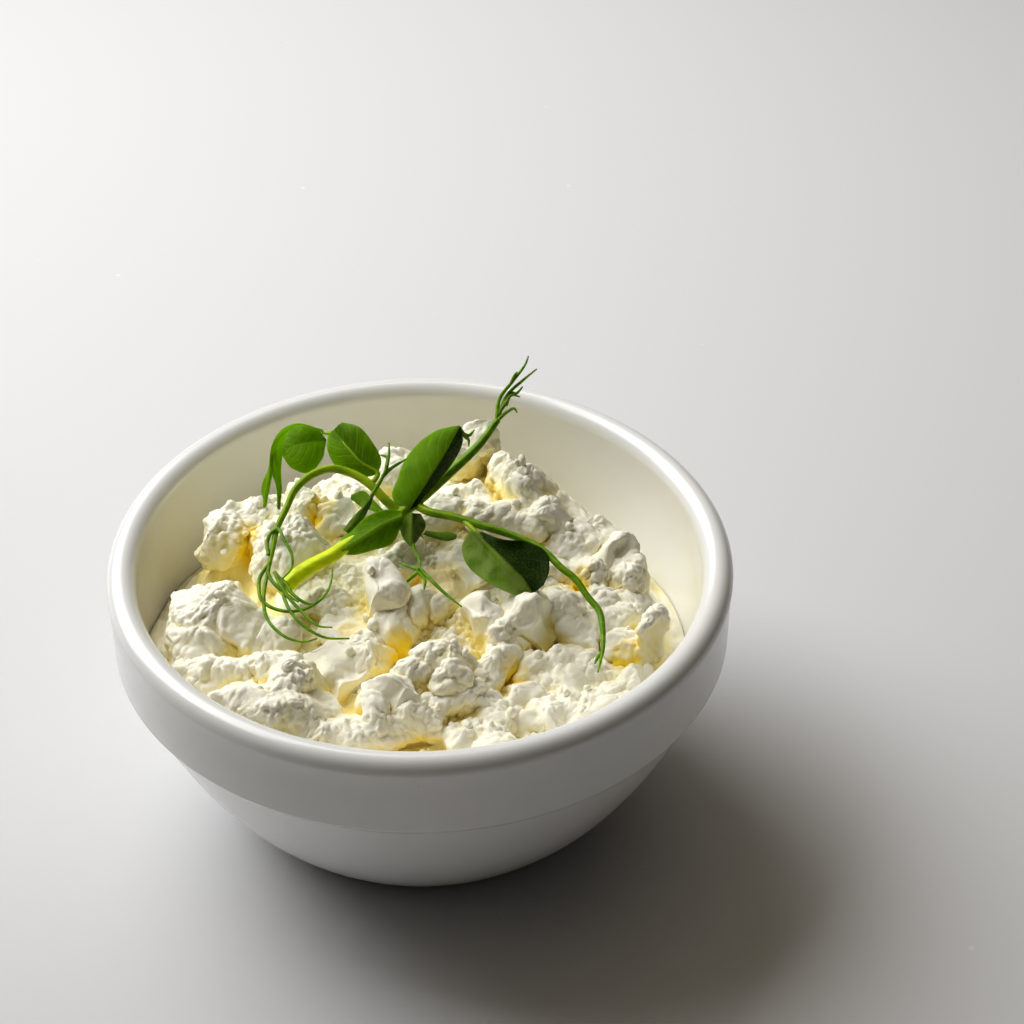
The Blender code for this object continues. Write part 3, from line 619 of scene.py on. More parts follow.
def joined_to(points, row, others):
    """How far to lift points outwards so that a lump runs smoothly into those that it meets.

    The lift is greatest where a neighbour's surface passes, and fades to nothing LUMP_JOIN away from it.
    """
    lift = np.zeros(len(points))
    for other in others:
        apart = math.dist(row[:2], other[:2])
        if other is row or apart > max(row[3:5]) + max(other[3:5]) + LUMP_JOIN:
            continue
        near = np.maximum(1.0 - np.abs(lump_distance(points, other)) / LUMP_JOIN, 0.0)
        lift = np.maximum(lift, near * near * LUMP_JOIN / 4.0)
    return lift


def crumpled(points):
    """Points shifted by a slow uneven field, so that no lump of curd stays a true ball."""
    return points + CRUMPLE_REACH * soft_shift(points, CRUMPLE_SIZE, 31)


def lump(row, others, seed, spacing):
    """One lump of curd as a closed ball grid.

    A point of the unit ball is cut back to a few flat planes, stretched by the three radii, turned about Z,
    lifted into its neighbours where it meets them and moved out along its normal by the curd relief.
    """
    x, y, top, radius_x, radius_y, radius_z, turn, smoothness = row
    radii = np.array([radius_x * LUMP_WIDENING, radius_y * LUMP_WIDENING, radius_z])
    rows = max(14, int(math.pi * radii.mean() / spacing))
    ball, quads, poles = unit_ball(rows, 2 * rows)
    shape = ball.copy()
    face = np.zeros(len(ball))
    draw = np.random.default_rng(seed)
    for _ in range(LUMP_CUTS):
        tilt = draw.normal(size=3) * (1.0, 1.0, 0.6)
        tilt /= np.linalg.norm(tilt)
        depth = draw.uniform(*CUT_DEPTHS) - 0.28 * smoothness
        over = np.maximum(shape @ tilt - depth, 0.0)
        over = over * over / (over + CUT_SOFTNESS)
        shape -= (0.85 * over)[:, None] * tilt
        face = np.maximum(face, smooth_step(over / 0.12))
    cosine, sine = math.cos(math.radians(turn)), math.sin(math.radians(turn))
    spin = np.array([[cosine, sine, 0.0], [-sine, cosine, 0.0], [0.0, 0.0, 1.0]])
    points = crumpled((shape * radii) @ spin + (x, y, top - radius_z))
    normal = unit(ball / radii) @ spin
    height, crease = curd_relief(points)
    rough = 1.0 - smoothness * (0.6 + 0.35 * face)
    out = height * rough + joined_to(points, row, others)
    # Painted shade: sides turned away from straight up are added to the crease value, which the material
    # paints cream.
    side = 1.0 - smooth_step((normal[:, 2] + 0.1) / 0.9)
    return points + normal * out[:, None], quads, poles, crease * rough + 0.9 * side


def raised(row):
    """A lump stretched up where it belongs to a mass that stands out of the heap, and sunk elsewhere."""
    x, y, top, radius_x, radius_y, radius_z, turn, smoothness = row
    rise = 0.0
    for mass_x, mass_y, across, along, most in HEAP_MASSES:
        away = ((x - mass_x) / across) ** 2 + ((y - mass_y) / along) ** 2
        rise = max(rise, (most + HEAP_SINK) * math.exp(-away * away))
    rise -= HEAP_SINK
    return (x, y - 0.5 * rise, top + rise, radius_x, radius_y, radius_z + 0.7 * rise, turn, smoothness)


def gather(parts):
    """Joins several (points, quads, triangles, values) into one, shifting the corners."""
    shifts = np.cumsum([0] + [len(part[0]) for part in parts[:-1]])
    points = np.concatenate([part[0] for part in parts])
    quads = np.concatenate([part[1] + shift for part, shift in zip(parts, shifts)])
    triangles = np.concatenate([part[2] + shift for part, shift in zip(parts, shifts)])
    values = np.concatenate([part[3] for part in parts])
    return points, quads, triangles, values


def core_surface(steps, rings):
    """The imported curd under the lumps: closed rings over the mound, down the wall and to the floor."""
    turns = np.linspace(0.0, 2.0 * math.pi, steps, endpoint=False)
    turn, contact, shoulder = np.array(CORE_EDGE).T
    contact = np.interp(np.degrees(turns), turn, contact)
    shoulder = np.interp(np.degrees(turns), turn, shoulder)
    edge = cavity_radius(contact) - CORE_GAP
    share = np.linspace(0.01, 1.0, rings)[:, None]
    reach = edge * share
    x, y = reach * np.cos(turns), reach * np.sin(turns)
    fall = smooth_step((reach - shoulder) / np.maximum(edge - shoulder, 0.5))
    level = mound_height(x, y) - CORE_DROP
    for pit_x, pit_y, width, depth in CORE_PITS:
        level -= depth * np.exp(-(((x - pit_x) / width) ** 2) - ((y - pit_y) / width) ** 2)
    z = level + (contact - level) * fall
    top = np.stack([x, y, z], axis=-1)
    down = np.linspace(0.0, 1.0, 13)[1:, None]
    wall_z = contact + (CAVITY_FLOOR + 1.0 - contact) * down
    wall_r = cavity_radius(wall_z) - CORE_GAP * (1.0 + down)
    wall = np.stack([wall_r * np.cos(turns), wall_r * np.sin(turns), wall_z], axis=-1)
    height, crease = curd_relief(top.reshape(-1, 3))
    lift = 1.0 - smooth_step((reach - edge + 1.2) / 1.2)
    top[..., 2] += (1.3 * height.reshape(lift.shape) + 0.4) * lift
    stack = np.concatenate([top, wall])[::-1]
    first = [0.0, 0.0, CAVITY_FLOOR + 1.0]
    last = [0.0, 0.0, float(top[0, :, 2].mean())]
    values = [np.zeros(12 * steps), crease.reshape(lift.shape)[::-1].reshape(-1), [0.0, 0.5]]
    return *closed_stack(stack, first, last), np.concatenate(values)


def crumbs_on(ground, count):
    """Loose crumbs: small uneven balls, each lying on the heap's height where it falls."""
    draw = np.random.default_rng(77)
    ball, quads, triangles = unit_ball(7, 12)
    turns = draw.uniform(0.0, 2.0 * math.pi, count)
    reach = CRUMB_REACH * np.sqrt(draw.uniform(size=count))
    places = np.stack([reach * np.cos(turns), reach * np.sin(turns), np.zeros(count)], axis=1)
    sizes = draw.uniform(*CRUMB_RADII, (count, 1))
    places[:, 2] = look_up(ground, places) + 0.1 * sizes[:, 0]
    radii = sizes * draw.uniform(0.7, 1.25, (count, 3))
    points = ball[None] * radii[:, None] + places[:, None]
    uneven = 0.25 * soft_noise(points, 0.7, 21)[..., None] * sizes[:, None]
    points = (points + ball[None] * uneven).reshape(-1, 3)
    shift = (np.arange(count) * len(ball))[:, None, None]
    quads = (quads[None] + shift).reshape(-1, 4)
    triangles = (triangles[None] + shift).reshape(-1, 3)
    return points, quads, triangles, np.zeros(len(points))


def cells_under(points, count):
    """Row and column of the square cell of the height map that each point stands over."""
    index = np.clip(((points[:, :2] + MAP_REACH) / MAP_CELL).astype(int), 0, count - 1)
    return index[:, 0], index[:, 1]


def height_map(clouds):
    """Highest point of all the curds over each cell of a square grid, or a low level where there is none."""
    count = int(2.0 * MAP_REACH / MAP_CELL)
    top = np.full((count, count), MAP_LEVEL)
    for points in clouds:
        np.maximum.at(top, cells_under(points, count), points[:, 2])
    return top


def blurred(values, reach):
    """Mean over a square of cells, taken twice."""
    for axis in (0, 1, 0, 1):
        total = np.zeros_like(values)
        for step in range(-reach, reach + 1):
            total += np.roll(values, step, axis=axis)
        values = total / (2 * reach + 1)
    return values


def look_up(values, points):
    """The height map's value under each point."""
    return values[cells_under(points, len(values))]


def yellow_share(points):
    """How near each point is to one of the buttery hollows, from 0 to 1."""
    total = np.zeros(len(points))
    for x, y, z, reach in YELLOW_SPOTS:
        away = (((points - (x, y, z)) * (1.0, 1.0, 0.4)) ** 2).sum(axis=1) / reach**2
        total = np.maximum(total, np.exp(-away))
    return total


# ---- Pea shoot ----


def tube(route, radii, steps, sides, ribs=0.0, start_cut=False, shades=(0.0, 1.0)):
    """A round stalk along a route, with radii from its start to its end.

    Each ring lies square to the route. Its two axes come from one direction that the route never follows, so
    the rings don't twist. shades are the tones at its two ends, from pale to green. ribs gives the depth of
    the lengthwise ridges as a share of the radius.
    """
    path = curve_through(route, steps)
    tangent = unit(np.gradient(path, axis=0))
    away = np.linalg.svd(tangent)[2][-1]
    side = unit(np.cross(away, tangent))
    up = np.cross(tangent, side)
    radius = np.interp(np.linspace(0.0, 1.0, steps), np.linspace(0.0, 1.0, len(radii)), radii)
    turns = np.linspace(0.0, 2.0 * math.pi, sides, endpoint=False)
    girth = radius[:, None] * (1.0 + ribs * np.cos(5.0 * turns + 0.6 * np.arange(steps)[:, None] / steps))
    rings = path[:, None] + girth[..., None] * (
        np.cos(turns)[None, :, None] * side[:, None] + np.sin(turns)[None, :, None] * up[:, None]
    )
    start = path[0] - tangent[0] * radius[0] * (0.1 if start_cut else 0.5)
    end = path[-1] + tangent[-1] * radius[-1] * 0.6
    along = np.append(np.repeat(np.linspace(*shades, steps), sides), shades)
    return *closed_stack(rings, start, end), along


def leaf(edges, rows, half_columns, seed):
    """One leaf as a thin closed sheet between its left edge, midrib and right edge.

    A point lies part of the way from the midrib to an edge. It is raised by the swell of that half, by the
    puffed fields between the side veins and by a slow ruffle, and lowered in the midrib's groove.
    """
    left, rib, right = (curve_through(edges[key], rows + 2)[1:-1] for key in ("left", "rib", "right"))
    ends = curve_through(edges["rib"], rows + 2)[[0, -1]]
    across = np.linspace(-1.0, 1.0, 2 * half_columns + 1)
    along = np.linspace(0.0, 1.0, rows + 2)[1:-1]
    share = np.abs(across)[None, :, None]
    edge = np.where(across[None, :, None] < 0.0, left[:, None], right[:, None])
    plain = rib[:, None] + (edge - rib[:, None]) * share
    run = np.gradient(plain, axis=0)
    spread = np.broadcast_to((right - left)[:, None], plain.shape)
    normal = unit(np.cross(spread, run))
    width = np.linalg.norm(edge - rib[:, None], axis=-1)
    veins = np.cos(2.0 * math.pi * (VEIN_COUNT * along[:, None] - VEIN_LEAN * np.abs(across)))
    ruffle = soft_noise(plain, 3.2, seed) * 0.35 + soft_noise(plain, 1.3, seed + 1) * 0.08
    rise = 0.10 * width * np.sin(math.pi * np.abs(across)) + ruffle * np.abs(across)
    rise += -0.05 * np.maximum(veins, 0.0) ** 4 * np.sin(math.pi * np.abs(across))
    rise += -0.10 * np.exp(-((across[None, :] * width / 0.25) ** 2))
    middle = plain + normal * rise[..., None]
    run = np.gradient(middle, axis=0)
    spread = np.gradient(middle, axis=1)
    facing = unit(np.cross(spread, run))
    half = LEAF_THICKNESS * (0.12 + 0.38 * np.sqrt(1.0 - np.minimum(across**4, 1.0)))
    half = half[None, :] + 0.10 * np.exp(-((across[None, :] * width / 0.3) ** 2))
    upper = middle + facing * half[..., None]
    lower = (middle - facing * half[..., None])[:, ::-1]
    sides = np.broadcast_to(np.concatenate([across, across[::-1]]), (rows, 4 * half_columns + 2))
    lengths = np.broadcast_to(along[:, None], sides.shape)
    surface = closed_stack(np.concatenate([upper, lower], axis=1), ends[0], ends[1])
    return *surface, np.append(sides.reshape(-1), (0.0, 0.0)), np.append(lengths.reshape(-1), (0.0, 1.0))


# ---- Shader node helpers ----


def fill(tree, socket, value):
    """Sets a socket to a value, or links it to another node's output."""
    if isinstance(value, bpy.types.NodeSocket):
        tree.links.new(value, socket)
    else:
        socket.default_value = value


def add_node(tree, kind, inputs=None, **settings):
    """Adds a node, sets its own settings, then fills its inputs from values or from other nodes' outputs."""
    node = tree.nodes.new(kind)
    for name, value in settings.items():
        setattr(node, name, value)
    for key, value in (inputs or {}).items():
        fill(tree, node.inputs[key], value)
    return node


def maths(tree, operation, first, second=0.0, third=0.0):
    """Output of one sum on values or other nodes' outputs."""
    inputs = {0: first, 1: second, 2: third}
    return add_node(tree, "ShaderNodeMath", inputs, operation=operation).outputs[0]


def mixed(tree, factor, first, second):
    """One colour over another."""
    inputs = {0: factor, 6: first, 7: second}
    return add_node(tree, "ShaderNodeMix", inputs, data_type="RGBA", clamp_factor=True).outputs[2]


def ranged(tree, value, low, high, to_low=0.0, to_high=1.0, kind="SMOOTHSTEP"):
    """Maps a value's range to another, held at both ends."""
    inputs = {"Value": value, "From Min": low, "From Max": high, "To Min": to_low, "To Max": to_high}
    return add_node(tree, "ShaderNodeMapRange", inputs, interpolation_type=kind).outputs[0]


def noise(tree, place, scale, detail=3.0, roughness=0.5):
    """Cloudy values round 0.5."""
    inputs = {"Vector": place, "Scale": scale, "Detail": detail, "Roughness": roughness}
    return add_node(tree, "ShaderNodeTexNoise", inputs).outputs[0]


def cells(tree, place, scale, feature="F1"):
    """Distance to the nearest of many scattered points, or to the edge between two of them."""
    inputs = {"Vector": place, "Scale": scale}
    return add_node(tree, "ShaderNodeTexVoronoi", inputs, feature=feature).outputs["Distance"]


def bumped(tree, height, strength, distance):
    """Normal of a fine relief that is only shaded."""
    inputs = {"Height": height, "Strength": strength, "Distance": distance}
    return add_node(tree, "ShaderNodeBump", inputs).outputs["Normal"]


def new_group(name, inputs, outputs):
    """A shader node group with the named sockets. Gives the tree, its inputs and its output node."""
    tree = bpy.data.node_groups.new(name, "ShaderNodeTree")
    for socket_name, kind, default in inputs:
        socket = tree.interface.new_socket(socket_name, in_out="INPUT", socket_type=kind)
        if default is not None:
            socket.default_value = default
    for socket_name, kind in outputs:
        tree.interface.new_socket(socket_name, in_out="OUTPUT", socket_type=kind)
    given = tree.nodes.new("NodeGroupInput")
    made = tree.nodes.new("NodeGroupOutput")
    return tree, given, made


def use_group(tree, group, inputs):
    """A node that stands for a shared group."""
    return add_node(tree, "ShaderNodeGroup", inputs, node_tree=group)


def new_material(name):
    """An empty material with its output node."""
    material = bpy.data.materials.new(name)
    material.use_nodes = True
    tree = material.node_tree
    tree.nodes.clear()
    output = tree.nodes.new("ShaderNodeOutputMaterial")
    return material, tree, output.inputs["Surface"]


def coated(tree, inputs):
    """A surface shader with the given inputs."""
    return add_node(tree, "ShaderNodeBsdfPrincipled", inputs).outputs[0]


def read_value(tree, name):
    """A number stored on the mesh's points."""
    return add_node(tree, "ShaderNodeAttribute", attribute_name=name).outputs["Fac"]


def colour(values):
    """Red, green and blue with full cover."""
    return (values[0], values[1], values[2], 1.0)


def grain_group():
    """Fine broken-curd grain: its height, and a slow patchiness, from a place in metres."""
    tree, given, made = new_group(
        "Curd grain",
        [("Place", "NodeSocketVector", None), ("Size", "NodeSocketFloat", 0.0006)],
        [("Height", "NodeSocketFloat"), ("Patch", "NodeSocketFloat")],
    )
    place = given.outputs["Place"]
    per_size = maths(tree, "DIVIDE", 1.0, given.outputs["Size"])
    large = cells(tree, place, per_size, "SMOOTH_F1")
    small = cells(tree, place, maths(tree, "MULTIPLY", per_size, 2.3), "SMOOTH_F1")
    patch = noise(tree, place, maths(tree, "MULTIPLY", per_size, 0.16), 2.0)
    both = maths(tree, "MULTIPLY_ADD", small, 0.45, large)
    tree.links.new(maths(tree, "SUBTRACT", 1.0, both), made.inputs["Height"])
    tree.links.new(ranged(tree, patch, 0.35, 0.65), made.inputs["Patch"])
    return tree


def veins_group():
    """A leaf's main rib, side veins and fine net, from its own across (-1 to 1) and along (0 to 1)."""
    tree, given, made = new_group(
        "Leaf veins",
        [
            ("Across", "NodeSocketFloat", 0.0),
            ("Along", "NodeSocketFloat", 0.0),
            ("Place", "NodeSocketVector", None),
            ("Count", "NodeSocketFloat", VEIN_COUNT),
        ],
        [("Rib", "NodeSocketFloat"), ("Side", "NodeSocketFloat"), ("Net", "NodeSocketFloat")],
    )
    out = maths(tree, "ABSOLUTE", given.outputs["Across"])
    rib = ranged(tree, out, 0.0, 0.10, 1.0, 0.0)
    bend = maths(tree, "MULTIPLY_ADD", noise(tree, given.outputs["Place"], 260.0, 1.0), 0.5, -0.25)
    turn = maths(tree, "MULTIPLY_ADD", given.outputs["Along"], given.outputs["Count"], bend)
    lean = maths(tree, "MULTIPLY", out, VEIN_LEAN)
    phase = maths(tree, "SUBTRACT", turn, lean)
    near = maths(tree, "PINGPONG", phase, 0.5)
    side = ranged(tree, near, 0.02, 0.12, 1.0, 0.0)
    net = cells(tree, given.outputs["Place"], 1900.0, "DISTANCE_TO_EDGE")
    tree.links.new(rib, made.inputs["Rib"])
    tree.links.new(side, made.inputs["Side"])
    tree.links.new(ranged(tree, net, 0.02, 0.14, 1.0, 0.0), made.inputs["Net"])
    return tree


def porcelain_material(settings):
    """White glaze: a clear coat with a very slight swell, pinholes, and bare rough clay under the foot."""
    material, tree, output = new_material("white glaze")
    place = add_node(tree, "ShaderNodeTexCoord").outputs["Object"]
    height = add_node(tree, "ShaderNodeSeparateXYZ", {0: place}).outputs["Z"]
    bare = ranged(tree, height, 0.0003, 0.0007, 1.0, 0.0)
    tone = noise(tree, place, 38.0, 4.0)
    tone = ranged(tree, tone, 0.3, 0.7)
    glaze = mixed(tree, tone, colour(settings.glaze_cool), colour(settings.glaze_warm))
    speck = ranged(tree, cells(tree, place, 150.0), 0.03, 0.05, 0.25, 0.0)
    glaze = mixed(tree, speck, glaze, (0.62, 0.60, 0.55, 1.0))
    clay = mixed(tree, noise(tree, place, 900.0), (0.72, 0.69, 0.63, 1.0), (0.60, 0.57, 0.51, 1.0))
    face = mixed(tree, bare, glaze, clay)
    wave = noise(tree, place, 55.0, 2.0)
    skin = noise(tree, place, 700.0, 2.0)
    relief = maths(tree, "MULTIPLY_ADD", skin, 0.05, wave)
    smoothest = settings.glaze_roughness
    gloss = ranged(tree, noise(tree, place, 90.0, 3.0), 0.3, 0.7, smoothest, smoothest + 0.06)
    shader = coated(
        tree,
        {
            "Base Color": face,
            "Roughness": maths(tree, "MAXIMUM", gloss, bare),
            "Normal": bumped(tree, relief, 0.10, 0.002),
            "IOR": 1.5,
            "Coat Weight": 0.35,
            "Coat Roughness": 0.04,
        },
    )
    tree.links.new(shader, output)
    return material


def curd_material(settings, grain):
    """Fresh curd: milky white on its tops, cream in its creases and butter yellow in its hollows. The cream
    in creases and hollows is partly the curd's own colour and partly painted shade; on sides turned away
    from above it is painted shade.
    """
    material, tree, output = new_material("fresh curd")
    place = add_node(tree, "ShaderNodeTexCoord").outputs["Object"]
    fine = use_group(tree, grain, {"Place": place, "Size": settings.grain_size})
    hollow = read_value(tree, "hollow")
    crease = read_value(tree, "crease")
    butter = read_value(tree, "butter")
    blotch = noise(tree, place, 190.0, 3.0)
    # Painted shade, partly the curd's own cream: crease (which also holds the sides turned away from above)
    # and hollow turn the colour to cream.
    cream_and_painted_shade = maths(tree, "MULTIPLY_ADD", blotch, 0.5, maths(tree, "MULTIPLY_ADD", crease, 0.55, hollow))
    cream_and_painted_shade = ranged(tree, cream_and_painted_shade, 0.35, 1.4)
    face = mixed(tree, cream_and_painted_shade, colour(settings.curd_white), colour(settings.curd_cream))
    sunk = ranged(tree, maths(tree, "ADD", crease, hollow), 0.3, 1.0, 0.45, 1.0)
    yolk = maths(tree, "MULTIPLY", ranged(tree, butter, 0.1, 0.55), sunk)
    face = mixed(tree, yolk, face, colour(settings.curd_butter))
    smooth = maths(tree, "MULTIPLY", fine.outputs["Patch"], ranged(tree, crease, 0.05, 0.5, 0.25, 1.0))
    relief = maths(tree, "MULTIPLY", fine.outputs["Height"], smooth)
    shine = ranged(tree, noise(tree, place, 500.0, 2.0), 0.35, 0.65, 0.52, 0.68)
    shader = coated(
        tree,
        {
            "Base Color": face,
            "Roughness": shine,
            "Normal": bumped(tree, relief, 0.55, settings.grain_height),
            "IOR": 1.38,
        },
    )
    tree.links.new(shader, output)
    return material


def leaf_material(settings, veins):
    """Thin leaf: waxy green with light shining through, veins, a whitish bloom and darker blotches, painted
    shade on the right half of some leaves and a painted glow that lightens the edges.
    """
    material, tree, output = new_material("pea leaf")
    place = add_node(tree, "ShaderNodeTexCoord").outputs["Object"]
    across = read_value(tree, "across")
    lines = use_group(tree, veins, {"Across": across, "Along": read_value(tree, "along"), "Place": place})
    pale = read_value(tree, "paleness")
    # Painted shade: the shade value darkens the right half of a leaf and takes its bloom away there.
    half = ranged(tree, across, -0.05, 0.12)
    right_half_painted_shade = maths(tree, "MULTIPLY", read_value(tree, "shade"), half)
    bright = maths(tree, "SUBTRACT", read_value(tree, "brightness"), right_half_painted_shade)
    # Painted glow: the colour turns lighter towards the edges, standing in for light shining through the
    # thin rims.
    painted_edge_glow = maths(tree, "POWER", maths(tree, "ABSOLUTE", across), 3.0)
    bright = maths(tree, "MULTIPLY_ADD", painted_edge_glow, 0.3, bright)
    blotch = noise(tree, place, 330.0, 4.0, 0.6)
    tone = ranged(tree, maths(tree, "MULTIPLY_ADD", blotch, 1.3, bright), 0.5, 1.7, kind="LINEAR")
    face = mixed(tree, tone, colour(settings.leaf_dark), colour(settings.leaf_green))
    for name, strength in (("Side", ranged(tree, tone, 0.0, 0.6, 0.03, 0.38)), ("Net", 0.12), ("Rib", 0.6)):
        share = maths(tree, "MULTIPLY", lines.outputs[name], strength)
        face = mixed(tree, share, face, colour(settings.leaf_vein))
    cloudy = ranged(tree, noise(tree, place, 420.0, 3.0), 0.3, 0.65, 0.2, 1.0)
    bloom = maths(tree, "MULTIPLY", pale, cloudy)
    # No bloom where the painted shade lies.
    bloom = maths(tree, "MULTIPLY", bloom, maths(tree, "SUBTRACT", 1.0, right_half_painted_shade))
    face = mixed(tree, bloom, face, colour(settings.leaf_bloom))
    relief = maths(tree, "MULTIPLY", lines.outputs["Side"], -0.6)
    relief = maths(tree, "MULTIPLY_ADD", lines.outputs["Net"], -0.25, relief)
    relief = maths(tree, "MULTIPLY_ADD", noise(tree, place, 2600.0, 2.0), 0.25, relief)
    normal = bumped(tree, relief, 0.45, 0.0002)
    shader = coated(
        tree,
        {
            "Base Color": face,
            "Roughness": ranged(tree, blotch, 0.3, 0.7, 0.40, 0.58),
            "Normal": normal,
            "IOR": 1.42,
            "Specular IOR Level": 0.12,
        },
    )
    lit = ranged(tree, bright, 0.0, 0.9, 0.0, 0.6)
    glow = mixed(tree, lit, face, colour(settings.leaf_glow))
    through = add_node(tree, "ShaderNodeBsdfTranslucent", {"Color": glow, "Normal": normal}).outputs[0]
    blend = add_node(tree, "ShaderNodeMixShader", {0: 0.55, 1: shader, 2: through})
    tree.links.new(blend.outputs[0], output)
    return material


def stalk_material(settings, name, base, tip):
    """Juicy stalk: pale at its cut end and greener along it, with fine streaks and a soft glow."""
    material, tree, output = new_material(name)
    place = add_node(tree, "ShaderNodeTexCoord").outputs["Object"]
    along = read_value(tree, "along")
    stretched = add_node(tree, "ShaderNodeMapping", {"Vector": place, "Scale": (0.25, 0.5, 1.0)})
    streak = noise(tree, stretched.outputs[0], 1500.0)
    mottle = noise(tree, place, 300.0, 3.0)
    shade = maths(tree, "MULTIPLY_ADD", maths(tree, "SUBTRACT", mottle, 0.5), 0.5, along)
    face = mixed(tree, ranged(tree, shade, 0.05, 0.8), colour(base), colour(tip))
    face = mixed(tree, ranged(tree, streak, 0.42, 0.62, 0.0, 0.30), face, colour(settings.leaf_vein))
    shader = coated(
        tree,
        {
            "Base Color": face,
            "Roughness": ranged(tree, mottle, 0.3, 0.7, 0.34, 0.48),
            "Normal": bumped(tree, streak, 0.3, 0.0002),
            "IOR": 1.42,
            "Specular IOR Level": 0.16,
            "Subsurface Weight": 0.6,
            "Subsurface Radius": (0.9, 1.0, 0.2),
            "Subsurface Scale": 0.0012,
        },
    )
    tree.links.new(shader, output)
    return material


def table_material(settings):
    """Pale satin table top with slow changes of tone, a very fine grain and faint dust."""
    material, tree, output = new_material("pale table top")
    place = add_node(tree, "ShaderNodeTexCoord").outputs["Object"]
    broad = noise(tree, place, 6.0, 3.0)
    face = mixed(tree, broad, colour(settings.table_light), colour(settings.table_dark))
    dust = ranged(tree, cells(tree, place, 45.0), 0.015, 0.03, 0.35, 0.0)
    face = mixed(tree, dust, face, (0.9, 0.9, 0.9, 1.0))
    smoothest = settings.table_roughness
    shader = coated(
        tree,
        {
            "Base Color": face,
            "Roughness": ranged(tree, broad, 0.3, 0.7, smoothest, smoothest + 0.08),
            "Normal": bumped(tree, noise(tree, place, 1400.0, 2.0), 0.12, 0.0002),
            "IOR": 1.45,
        },
    )
    tree.links.new(shader, output)
    return material


# ---- Settings ----


def length_property(name, text, default, low=0.0, high=2.0):
    """A setting in metres."""
    return bpy.props.FloatProperty(
        name=name, description=text, default=default, min=low, max=high, unit="LENGTH", precision=4
    )


def colour_property(name, text, default):
    """A setting of red, green and blue."""
    return bpy.props.FloatVectorProperty(
        name=name, description=text, default=default, min=0.0, max=1.0, size=3, subtype="COLOR"
    )


def share_property(name, text, default, low=0.0, high=1.0):
    """A setting without a unit."""
    return bpy.props.FloatProperty(
        name=name, description=text, default=default, min=low, max=high, subtype="FACTOR"
    )


class BowlSettings(bpy.types.PropertyGroup):
    """Sizes and glaze of the bowl."""

    steps: bpy.props.IntProperty(
        name="Steps round", description="Faces round the bowl's axis", default=256, min=32, max=720
    )
    step_depth: length_property(
        "Step depth", "How far the step under the rim band stands out", 0.0005, 0.0, 0.002
    )
    glaze_cool: colour_property("Cool glaze", "Glaze colour where it is thick", (0.81, 0.82, 0.815))
    glaze_warm: colour_property("Warm glaze", "Glaze colour where it is thin", (0.83, 0.825, 0.80))
    glaze_roughness: share_property("Glaze roughness", "Roughness of the glaze at its smoothest", 0.20)


class CurdSettings(bpy.types.PropertyGroup):
    """Grain and colours of the curds."""

    spacing: length_property(
        "Spacing", "Distance between the points of a lump's surface", 0.00028, 0.0001, 0.002
    )
    grain_size: length_property(
        "Grain size", "Width of the finest grain, which is only shaded", 0.00042, 0.0001, 0.002
    )
    grain_height: length_property("Grain height", "Height of the finest grain", 0.00013, 0.0, 0.001)
    crumb_count: bpy.props.IntProperty(
        name="Loose crumbs", description="How many loose crumbs lie on top", default=70, min=0, max=600
    )
    # White shows on tops; cream shows in creases, hollows and sides turned away from above, partly as the
    # curd's own cream and partly as painted shade.
    curd_white: colour_property("White", "Curd colour on its tops", (0.985, 0.95, 0.79))
    curd_cream: colour_property("Cream", "Curd colour in its creases", (0.98, 0.85, 0.35))
    curd_butter: colour_property("Butter", "Colour of the buttery hollows", (1.0, 0.73, 0.03))


class ShootSettings(bpy.types.PropertyGroup):
    """Colours and fineness of the pea shoot."""

    leaf_rows: bpy.props.IntProperty(
        name="Leaf rows", description="Rows of points along each leaf", default=90, min=12, max=300
    )
    # Dark green shows in the blotches and as painted shade on the shaded right halves.
    leaf_dark: colour_property("Dark green", "Leaf colour in its dark parts", (0.008, 0.04, 0.002))
    leaf_green: colour_property("Green", "Leaf colour in its bright parts", (0.26, 0.52, 0.003))
    leaf_vein: colour_property("Veins", "Colour of the veins and streaks", (0.34, 0.56, 0.02))
    leaf_bloom: colour_property("Bloom", "Colour of the pale waxy bloom", (0.32, 0.43, 0.10))
    leaf_glow: colour_property("Light through", "Tint of light shining through", (0.60, 0.90, 0.002))
    stem_pale: colour_property("Pale stem", "Stem colour at its cut end", (0.82, 0.94, 0.01))
    stem_green: colour_property("Stem green", "Stem colour further up", (0.12, 0.25, 0.006))
    tendril_green: colour_property("Tendril green", "Colour of the tendrils", (0.08, 0.20, 0.006))


class StageSettings(bpy.types.PropertyGroup):
    """Table top, lights and camera."""

    table_light: colour_property("Table light", "Table colour at its palest", (0.68, 0.68, 0.69))
    table_dark: colour_property("Table dark", "Table colour at its darkest", (0.65, 0.65, 0.66))
    table_roughness: share_property("Table roughness", "Roughness of the table at its smoothest", 0.58)
    lamp_power: bpy.props.FloatProperty(
        name="Lamp power",
        description="Power of the large soft lamp",
        default=2.35,
        min=0.0,
        max=500.0,
        unit="POWER",
    )
    lamp_width: length_property("Lamp width", "Width of the large soft lamp", 0.60, 0.01, 2.0)
    lamp_place: bpy.props.FloatVectorProperty(
        name="Lamp place",
        description="Where the large soft lamp is",
        default=(-0.32, 0.35, 0.425),
        subtype="TRANSLATION",
        unit="LENGTH",
    )
    sky_high: colour_property("Sky above", "Light from above and behind", (1.0, 0.86, 0.60))
    sky_low: colour_property("Sky below", "Light from the front and from low down", (0.05, 0.045, 0.04))
    sky_strength: share_property("Sky", "Brightness of the plain light from above", 0.40, 0.0, 3.0)


PIECE_SETTINGS = (
    ("bowl_settings", BowlSettings),
    ("curd_settings", CurdSettings),
    ("shoot_settings", ShootSettings),
    ("stage_settings", StageSettings),
)


